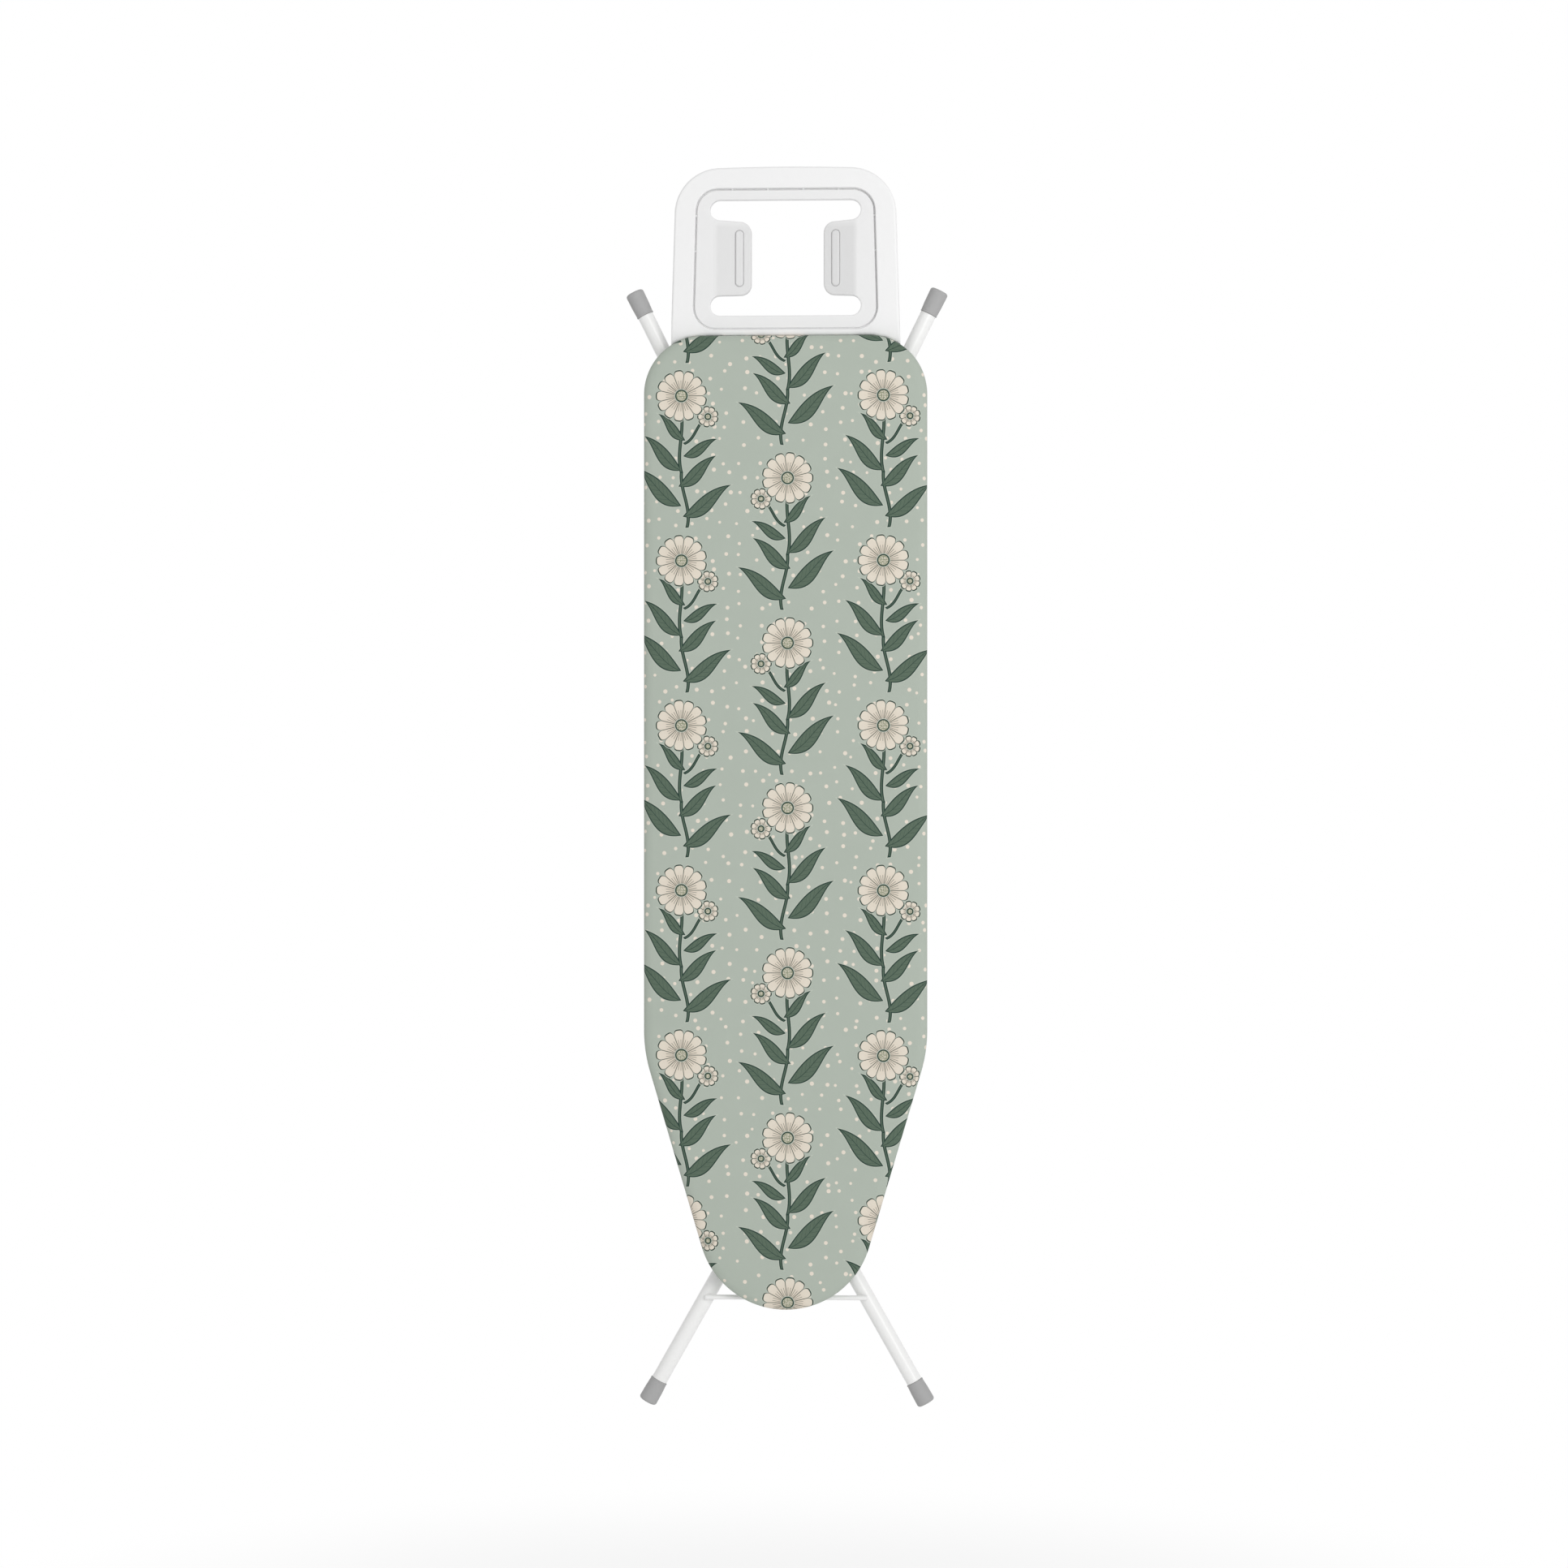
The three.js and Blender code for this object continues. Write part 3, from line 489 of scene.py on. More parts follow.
@dataclass(frozen=True)
class Finish:
    """What every finish has: a name, a base colour, how rough it is and its slot."""

    name: str
    colour: str
    roughness: float
    slot: Slot

    def material(self) -> Material:
        """Makes the finish's material on first use.

        Returns:
            The material.
        """
        if self.name not in bpy.data.materials:
            self.dress(emptied(bpy.data.materials.new(self.name)))
        return bpy.data.materials[self.name]

    def dress(self, tree: NodeTree) -> None:
        """Lays out the finish's nodes in an empty tree."""
        raise NotImplementedError

    def surface(self, tree: NodeTree, **inputs: Any) -> None:
        """Ends a tree in its surface shader, with the shader's inputs."""
        add(tree, "OutputMaterial", add(tree, "BsdfPrincipled", **inputs))


@dataclass(frozen=True)
class PowderEnamel(Finish):
    """White powder-coated steel tube and sheet, baked to a soft gloss."""

    name: str = "powder_coated_steel"
    colour: str = "#F5F5F4"
    roughness: float = 0.28
    slot: Slot = Slot.ENAMEL
    duller: str = "#F3F3F2"
    peel: float = 2.6

    def dress(self, tree: NodeTree) -> None:
        """Powder melts into a faint orange peel, which breaks up the long highlights on the tubes."""
        place = add(tree, "TexCoord", out=3)
        peel = add(tree, "TexNoise", place, Scale=1 / (self.peel * MM), Detail=1.0)
        bump = add(tree, "Bump", Strength=0.3, Distance=0.0015 * MM, Height=peel)
        patches = add(tree, "TexNoise", place, Scale=1 / (60 * MM), Detail=1.0)
        tone = add(tree, "Mix RGBA", patches, self.duller, self.colour)
        self.surface(tree, Base_Color=tone, Roughness=self.roughness, Normal=bump, IOR=1.5)


@dataclass(frozen=True)
class MouldedPlastic(Finish):
    """Injection-moulded polypropylene with a fine spark-eroded grain."""

    name: str = "moulded_white_polypropylene"
    colour: str = "#F4F4F4"
    roughness: float = 0.42
    slot: Slot = Slot.MOULDING
    shade: str = "#F1F1F1"
    grain: float = 0.9
    relief: float = 0.02

    def dress(self, tree: NodeTree) -> None:
        """The mould's grain is too fine to show, so it is drawn about three times as coarse, and low."""
        place = add(tree, "TexCoord", out=3)
        grain = add(tree, "TexNoise", place, Scale=1 / (self.grain * MM), Detail=3.0)
        bump = add(tree, "Bump", Strength=0.6, Distance=self.relief * MM, Height=grain)
        rough = add(tree, "MapRange", grain, 0.3, 0.7, self.roughness - 0.05, self.roughness + 0.07)
        self.surface(tree, Base_Color=self.tone(tree, place), Roughness=rough, Normal=bump, IOR=1.49)

    def tone(self, tree: NodeTree, place: NodeSocket) -> NodeSocket:
        """Returns the colour, a little cloudy from the melt's flow."""
        flow = add(tree, "TexNoise", place, Scale=1 / (45 * MM), Detail=2.0)
        return add(tree, "Mix RGBA", flow, self.shade, self.colour)


@dataclass(frozen=True)
class PaintedShadePlastic(MouldedPlastic):
    """The same polypropylene where it is a coarser grained floor, with painted shade greying the tongues."""

    # Painted shade: the greyer colour on the tongues, fading in between two distances across.
    painted_shade: str = "#DFDFDF"
    shade_start_x: float = 82.0
    shade_full_x: float = 76.0

    def tone(self, tree: NodeTree, place: NodeSocket) -> NodeSocket:
        """Returns a colour that is greyer on the tongues: painted shade for the shade that the leaning
        tongues catch.
        """
        parts = add(tree, "SeparateXYZ", place)
        # Mask of the painted shade: none out past the crease, full on the tongues, fading at their ends.
        share = add(tree, "MapRange", add(tree, "ABSOLUTE", parts), self.shade_start_x * MM, self.shade_full_x * MM)
        for end, inwards in zip(TONGUES, (1, -1)):
            ends = end - inwards * 6 * MM, end + inwards * 4 * MM
            within = add(tree, "MapRange", parts.node.outputs[2], *ends)
            share = add(tree, "MULTIPLY", share, within)
        return add(tree, "Mix RGBA", share, super().tone(tree, place), self.painted_shade)


@dataclass(frozen=True)
class ZincPlate(Finish):
    """Bright zinc-plated steel, pressed and turned."""

    name: str = "zinc_plated_steel"
    colour: str = "#C6C8CA"
    roughness: float = 0.34
    slot: Slot = Slot.ZINC
    duller: str = "#B4B7BA"

    def dress(self, tree: NodeTree) -> None:
        """Plating dulls unevenly in patches of some millimetres, over fine rolling lines."""
        place = add(tree, "TexCoord", out=3)
        patches = add(tree, "TexNoise", place, Scale=1 / (9 * MM), Detail=4.0)
        stretched = add(tree, "Mapping", place, Scale=(1 / (0.5 * MM), 1 / (0.5 * MM), 1 / (30 * MM)))
        rolled = add(tree, "TexNoise", stretched, Scale=1.0, Detail=2.0)
        bump = add(tree, "Bump", Strength=0.3, Distance=0.01 * MM, Height=rolled)
        tone = add(tree, "Mix RGBA", patches, self.duller, self.colour)
        rough = add(tree, "MapRange", patches, 0.3, 0.7, self.roughness - 0.08, self.roughness + 0.12)
        self.surface(tree, Base_Color=tone, Metallic=1.0, Roughness=rough, Normal=bump)


@dataclass(frozen=True)
class NeedleFelt(Finish):
    """Off-white needled polyester felt under the cover."""

    name: str = "needled_felt"
    colour: str = "#E4E1D8"
    roughness: float = 0.95
    slot: Slot = Slot.FELT
    darker: str = "#CFCBC1"

    def dress(self, tree: NodeTree) -> None:
        """Matted fibres give a cloudy tone and a fuzzy surface with a soft sheen."""
        place = add(tree, "TexCoord", out=3)
        clouds = add(tree, "TexNoise", place, Scale=1 / (7 * MM), Detail=5.0, Roughness=0.65)
        fibres = add(tree, "TexNoise", place, Scale=1 / (1.1 * MM), Detail=4.0, Distortion=2.0)
        bump = add(tree, "Bump", Strength=0.9, Distance=0.25 * MM, Height=fibres)
        tone = add(tree, "Mix RGBA", clouds, self.darker, self.colour)
        self.surface(tree, Base_Color=tone, Roughness=self.roughness, Normal=bump, Sheen_Weight=0.25,
                     Sheen_Roughness=0.5)


@dataclass(frozen=True)
class Leaf:
    """One printed leaf or stalk, in millimetres and degrees within the repeat.

    Its width swells and shrinks along its length, unless it is a stalk, and it bows to one side and back.
    """

    x: float
    z: float
    lean: float
    length: float
    half: float
    bow: float
    stalk: bool = False


@dataclass(frozen=True)
class Blossom:
    """One printed blossom, seen from above, in millimetres within the repeat."""

    x: float
    z: float
    radius: float
    petals: int
    disc: float


@dataclass(frozen=True)
class PrintedCotton(Finish):
    """Plain-weave cotton, screen-printed with daisies on leafy stems between dots, in a half-drop repeat.

    Each stem stands apart, with leaves on alternate sides, a wide open blossom at its head and a small one
    aside. It looks matt, with crisp flat colours and fine dark outlines.
    """

    name: str = "plain_weave_cotton"
    colour: str = "#B2BBB0"
    roughness: float = 0.88
    slot: Slot = Slot.COTTON
    duller: str = "#AEB7AC"
    leaf: str = "#5C6E5E"
    leaf_deep: str = "#526555"
    ink: str = "#1F3A31"
    halo: str = "#BFC6BA"
    blossom: str = "#E3DACB"
    blossom_deep: str = "#D8CCBC"
    heart: str = "#8D9379"
    dot: str = "#E6DCCE"
    dot_pitch: float = 18.5
    column: float = 114.0
    row: float = 186.0
    line: float = 0.7
    thread: float = 0.9
    leaves: tuple[Leaf, ...] = (
        Leaf(-3.5, -88.0, 6.0, 62.0, 1.25, 5.0, stalk=True),
        Leaf(3.0, -26.4, 0.0, 66.0, 1.25, -4.0, stalk=True),
        Leaf(-0.5, 6.0, -40.0, 36.0, 0.95, 4.0, stalk=True),
        Leaf(0.5, -76.0, -56.0, 62.0, 8.2, 6.0),
        Leaf(4.0, -64.0, 50.0, 64.0, 8.6, -6.0),
        Leaf(5.5, -42.0, -50.0, 52.0, 7.2, 5.0),
        Leaf(3.0, -24.0, 47.0, 56.0, 7.4, -5.5),
        Leaf(0.0, -8.0, -62.0, 40.0, 5.6, 4.0),
        Leaf(-0.6, 10.0, 44.0, 40.0, 5.2, -4.0),
    )
    blossoms: tuple[Blossom, ...] = (Blossom(-27.0, 36.5, 11.5, 9, 3.2), Blossom(3.0, 60.0, 28.5, 13, 6.4))

    def dress(self, tree: NodeTree) -> None:
        """Layers the print on the ground colour and gives the cloth its plain weave."""
        cell = self.cell(tree)
        colour = self.foliage(tree, self.dots(tree, self.ground(tree)), cell)
        for blossom in self.blossoms:
            colour = self.daisy(tree, colour, cell, blossom)
        bump = add(tree, "Bump", Strength=0.35, Distance=0.05 * MM, Height=self.weave(tree, self.cloth(tree)))
        self.surface(tree, Base_Color=colour, Roughness=self.roughness, Normal=bump, Sheen_Weight=0.1,
                     Sheen_Roughness=0.45, IOR=1.45)

    def cloth(self, tree: NodeTree) -> NodeSocket:
        """Returns the place on the flat cloth, in millimetres."""
        return add(tree, "VectorMath MULTIPLY", add(tree, "UVMap", uv_map="cut"), (1 / MM,) * 3)

    def cell(self, tree: NodeTree) -> tuple[NodeSocket, NodeSocket]:
        """Finds the place within the half-drop repeat, every other column mirrored.

        Args:
            tree: The cloth's tree.

        Returns:
            Millimetres across and along the motif.
        """
        flat = add(tree, "SeparateXYZ", self.cloth(tree))
        nearest = add(tree, "ROUND", add(tree, "DIVIDE", flat, self.column))
        odd = add(tree, "FLOORED_MODULO", nearest, 2.0)
        flip = add(tree, "MULTIPLY_ADD", odd, -2.0, 1.0)
        across = add(tree, "MULTIPLY", add(tree, "MULTIPLY_ADD", nearest, -self.column, flat), flip)
        dropped = add(tree, "MULTIPLY_ADD", odd, self.row / 2, flat.node.outputs[1])
        return across, add(tree, "WRAP", dropped, self.row / 2, -self.row / 2)

    def printed(self, tree: NodeTree, below: NodeSocket, colour: NodeSocket | str, distance: NodeSocket,
                edge: float) -> NodeSocket:
        """Returns a colour over what lies below where a distance in millimetres is under an edge."""
        mask = add(tree, "MapRange", distance, edge - 0.16, edge + 0.16, 1.0, 0.0)
        return add(tree, "Mix RGBA", mask, below, colour)

    def inked(self, tree: NodeTree, below: NodeSocket, edge: NodeSocket,
              fill: NodeSocket | str) -> NodeSocket:
        """Prints a shape: its halo, its dark outline and its fill.

        Args:
            tree: The cloth's tree.
            below: The colour so far.
            edge: The distance outside the shape's edge, in millimetres.
            fill: The shape's own colour.

        Returns:
            The colour with the shape.
        """
        for colour, reach in ((self.halo, 2.1 * self.line), (self.ink, self.line), (fill, -self.line)):
            below = self.printed(tree, below, colour, edge, reach)
        return below

    def ground(self, tree: NodeTree) -> NodeSocket:
        """Returns the dyed ground, a little uneven as screen-printed cloth is."""
        uneven = add(tree, "TexNoise", self.cloth(tree), Scale=1 / 38, Detail=3.0)
        return add(tree, "Mix RGBA", uneven, self.duller, self.colour)

    def dots(self, tree: NodeTree, below: NodeSocket) -> NodeSocket:
        """Scatters dots loosely over the ground, 3 to 5 mm across.

        Args:
            tree: The cloth's tree.
            below: The ground's colour.

        Returns:
            The colour with the dots.
        """
        pitch = self.dot_pitch
        spots = add(tree, "TexVoronoi", self.cloth(tree), Scale=1 / pitch, Randomness=0.72,
                    voronoi_dimensions="2D")
        sizes = add(tree, "SeparateColor", spots.node.outputs["Color"])
        limit = add(tree, "MapRange", sizes, 0.0, 1.0, 1.6 / pitch, 2.4 / pitch)
        outside = add(tree, "SUBTRACT", spots, limit)
        near = add(tree, "MapRange", outside, -0.012, 0.012, 1.0, 0.0)
        return add(tree, "Mix RGBA", near, below, self.dot)

    def blade(self, tree: NodeTree, cell: Sequence[NodeSocket], leaf: Leaf) -> tuple[NodeSocket, ...]:
        """Measures a leaf.

        Args:
            tree: The cloth's tree.
            cell: The place within the repeat.
            leaf: The leaf or stalk.

        Returns:
            The distance outside its edge, that from its midrib and the length along it, in millimetres.
        """
        sine, cosine = math.sin(math.radians(leaf.lean)), math.cos(math.radians(leaf.lean))
        x, z = (add(tree, "SUBTRACT", *both) for both in zip(cell, (leaf.x, leaf.z)))
        ahead = add(tree, "MULTIPLY_ADD", x, sine, add(tree, "MULTIPLY", z, cosine))
        aside = add(tree, "MULTIPLY_ADD", x, cosine, add(tree, "MULTIPLY", z, -sine))
        share = add(tree, "DIVIDE", ahead, leaf.length)
        swell = add(tree, "MULTIPLY", share, add(tree, "SUBTRACT", 1.0, share))
        turn = add(tree, "MULTIPLY_ADD", share, -7.0 * leaf.bow, 4.6 * leaf.bow)
        from_rib = add(tree, "ABSOLUTE", add(tree, "MULTIPLY_ADD", swell, turn, aside))
        if leaf.stalk:
            off = add(tree, "ABSOLUTE", add(tree, "SUBTRACT", ahead, leaf.length / 2))
            beyond = add(tree, "SUBTRACT", off, leaf.length / 2)
            return add(tree, "MAXIMUM", add(tree, "SUBTRACT", from_rib, leaf.half), beyond), from_rib, ahead
        fuller = add(tree, "MULTIPLY_ADD", share, -3.2 * leaf.half, 5.4 * leaf.half)
        return add(tree, "SUBTRACT", from_rib, add(tree, "MULTIPLY", swell, fuller)), from_rib, ahead

    def foliage(self, tree: NodeTree, below: NodeSocket, cell: Sequence[NodeSocket]) -> NodeSocket:
        """Prints the stem, its side stalk and the veined leaves.

        Args:
            tree: The cloth's tree.
            below: The colour so far.
            cell: The place within the repeat.

        Returns:
            The colour with the leaves.
        """
        edges, veins = [], []
        for leaf in self.leaves:
            edge, from_rib, ahead = self.blade(tree, cell, leaf)
            edges.append(edge)
            if not leaf.stalk:
                spaced = add(tree, "PINGPONG", add(tree, "MULTIPLY_ADD", from_rib, -1.4, ahead), 3.6)
                lines = add(tree, "MINIMUM", from_rib, add(tree, "ADD", spaced, 0.14))
                veins.append(add(tree, "MAXIMUM", lines, add(tree, "ADD", edge, 1.5)))
        nearest, vein = (reduce(lambda a, b: add(tree, "MINIMUM", a, b), each) for each in (edges, veins))
        hatch = add(tree, "TexNoise", self.cloth(tree), Scale=0.35, Detail=2.0)
        fill = add(tree, "Mix RGBA", hatch, self.leaf_deep, self.leaf)
        return self.printed(tree, self.inked(tree, below, nearest, fill), self.ink, vein, 0.3)

    def daisy(self, tree: NodeTree, below: NodeSocket, cell: Sequence[NodeSocket],
              blossom: Blossom) -> NodeSocket:
        """Prints one blossom: round-tipped petals with fine lines, about a seeded heart.

        Args:
            tree: The cloth's tree.
            below: The colour so far.
            cell: The place within the repeat.
            blossom: The blossom's place and size.

        Returns:
            The colour with the blossom.
        """
        x, z = (add(tree, "SUBTRACT", *both) for both in zip(cell, (blossom.x, blossom.z)))
        radius = add(tree, "VectorMath LENGTH", add(tree, "CombineXYZ", x, z))
        turn = add(tree, "MULTIPLY", add(tree, "ARCTAN2", z, x), blossom.petals / math.tau)
        aside = add(tree, "ABSOLUTE", add(tree, "WRAP", turn, 0.5, -0.5))
        square = add(tree, "MULTIPLY", aside, aside)
        fourth = add(tree, "MULTIPLY", square, square)
        rim = add(tree, "MULTIPLY_ADD", fourth, -3.4 * blossom.radius, blossom.radius)
        edge = add(tree, "SUBTRACT", radius, rim)
        shade = add(tree, "MapRange", radius, blossom.disc, blossom.radius * 0.8)
        cream = add(tree, "Mix RGBA", shade, self.blossom_deep, self.blossom)
        colour = self.inked(tree, below, edge, cream)
        pitch = add(tree, "MULTIPLY", radius, math.tau / blossom.petals)
        parting = add(tree, "MULTIPLY", add(tree, "MULTIPLY_ADD", aside, -1.0, 0.5), pitch)
        from_streak = add(tree, "ABSOLUTE", add(tree, "SUBTRACT", aside, 0.18))
        reach = add(tree, "SUBTRACT", radius, blossom.radius * 0.6)
        streak = add(tree, "MAXIMUM", add(tree, "MULTIPLY_ADD", from_streak, pitch, 0.16), reach)
        lines = add(tree, "MAXIMUM", add(tree, "MINIMUM", parting, streak), add(tree, "ADD", edge, 0.2))
        colour = self.printed(tree, colour, self.ink, lines, 0.36)
        disc = add(tree, "SUBTRACT", radius, blossom.disc)
        colour = self.inked(tree, colour, disc, self.heart)
        grains = add(tree, "TexVoronoi", self.cloth(tree), Scale=0.52, Randomness=0.4,
                     voronoi_dimensions="2D")
        seeds = add(tree, "MAXIMUM", add(tree, "SUBTRACT", grains, 0.32), add(tree, "ADD", disc, 1.1))
        return self.printed(tree, colour, self.dot, seeds, 0.0)

    def weave(self, tree: NodeTree, place: NodeSocket) -> NodeSocket:
        """Draws a plain weave, twice as coarse as the thread so that it shows.

        Args:
            tree: The cloth's tree.
            place: The place on the flat cloth, in millimetres.

        Returns:
            The weave's height.
        """
        turns = add(tree, "VectorMath MULTIPLY", place, (math.pi / self.thread,) * 3)
        parts = add(tree, "SeparateXYZ", turns)
        crossed = add(tree, "MULTIPLY", *(add(tree, "SINE", parts.node.outputs[i]) for i in (0, 1)))
        return add(tree, "ADD", crossed, add(tree, "TexNoise", place, Scale=0.6, Detail=2.0))


ENAMEL = PowderEnamel()
MOULDING = MouldedPlastic()
# The tray's colour, greyer than the frame's, is painted shade for the sunk tray; its coarser grain and relief
# are real.
TRAY = PaintedShadePlastic("grained_white_polypropylene", "#EDEDED", 0.55, shade="#EBEBEB", grain=1.3, relief=0.045)
RUBBER = MouldedPlastic("moulded_grey_rubber", "#ADADAD", 0.68, Slot.RUBBER, "#A7A7A7")
NYLON = MouldedPlastic("grey_nylon", "#A9A9A8", 0.5, Slot.RUBBER, "#A2A2A1")
ZINC = ZincPlate()
FELT = NeedleFelt()
COTTON = PrintedCotton()


# ---- board ----


@dataclass(frozen=True)
class BoardOutline(Outline):
    """The board's outline: rounded rear corners, straight sides, shoulders, taper and nose."""

    length: float = 1100.0
    half_width: float = 160.0
    rear_radius: float = 66.0
    shoulder_radius: float = 165.0
    nose_radius: float = 98.7
    taper: float = 16.5
    fine: int = 1

    def arcs(self, inset: float) -> list[Arc]:
        """Lists the five arcs, moved inwards by an inset in millimetres."""
        lean = math.radians(self.taper)
        shoulder = self.half_width - self.shoulder_radius
        rise = (self.shoulder_radius - self.nose_radius + shoulder * math.cos(lean)) / math.sin(lean)
        rear = Arc(self.half_width - self.rear_radius, self.length - self.rear_radius,
                   self.rear_radius - inset, 90, 0, 16 * self.fine)
        side = Arc(shoulder, self.nose_radius + rise, self.shoulder_radius - inset, 0, -self.taper,
                   8 * self.fine)
        nose = Arc(0, self.nose_radius, self.nose_radius - inset, -self.taper, self.taper - 180,
                   40 * self.fine)
        return [rear, side, nose, side.mirrored(), rear.mirrored()]


@dataclass(frozen=True)
class Loft:
    """The slight crown that springy felt gives a front which is held round its edge."""

    cap: float
    pitch: float = 11.0
    margin: float = 9.0
    pressure: float = 4.0
    frames: int = 20

    def fill(self, bm: BMesh, outline: Outline, ring: list[BMVert], inset: float,
             depth: float) -> list[BMVert]:
        """Closes a flat front with a grid of small faces.

        Args:
            bm: The mesh that holds the front.
            outline: The outline that the front follows.
            ring: The front's rim.
            inset: How far in from the outline the rim lies, in millimetres.
            depth: The front's depth.

        Returns:
            The grid's vertices.
        """
        low, high = (end(height_of(v.co) for v in ring) for end in (min, max))
        place = Matrix.Translation(at(0.0, depth, (low + high) / 2)) @ TO_FRONT
        return framed(bm, edges_of(ring), place, round((high - low) / self.pitch), (high - low) / 2 * MM,
                      outline.limit(inset + self.margin))

    def swell(self, bm: BMesh, free: Sequence[BMVert]) -> None:
        """Pushes free vertices forward as far as a short cloth simulation does, up to the cap.

        Args:
            bm: The mesh, whose other vertices are held.
            free: The vertices that move.
        """
        bm.verts.index_update()
        bm.verts.ensure_lookup_table()
        moving = {v.index for v in free}
        trial = bm.copy()
        number = {v: i for i, v in enumerate(trial.verts)}
        still = [f for f in trial.faces if not any(number[v] in moving for v in f.verts)]
        bmesh.ops.delete(trial, geom=still, context="FACES")
        turn_to_front(trial)
        numbers = [number[v] for v in trial.verts]
        held = [i for i, n in enumerate(numbers) if n not in moving]
        lifts = self.simulated(meshed(trial, "trial"), held)
        for n, lift in zip(numbers, lifts):
            if n in moving:
                bm.verts[n].co.y -= self.cap * MM * math.tanh(max(0.0, lift) / self.cap)

    def simulated(self, mesh: Mesh, held: list[int]) -> list[float]:
        """Runs the cloth simulation and removes it again.

        Args:
            mesh: The front, which is used up.
            held: The vertices that stay in place.

        Returns:
            How far each vertex rose, in millimetres.
        """
        scene = bpy.context.scene
        sheet = placed("trial", mesh)
        sheet.vertex_groups.new(name="held").add(held, 1.0, "REPLACE")
        cloth = sheet.modifiers.new("cloth", "CLOTH")
        cloth.settings.vertex_group_mass = "held"
        cloth.settings.use_pressure = True
        cloth.settings.uniform_pressure_force = self.pressure
        cloth.settings.effector_weights.gravity = 0.0
        cloth.point_cache.frame_end = self.frames
        for number in range(1, self.frames + 1):
            scene.frame_set(number)
        shape = sheet.evaluated_get(bpy.context.evaluated_depsgraph_get()).to_mesh()
        lifts = [(v.co.y - w.co.y) / MM for v, w in zip(mesh.vertices, shape.vertices)]
        scene.frame_set(1)
        bpy.data.objects.remove(sheet)
        bpy.data.meshes.remove(mesh)
        LOG.info("the front rose by up to %.2f mm before its cap of %.1f mm", max(lifts), self.cap)
        return lifts


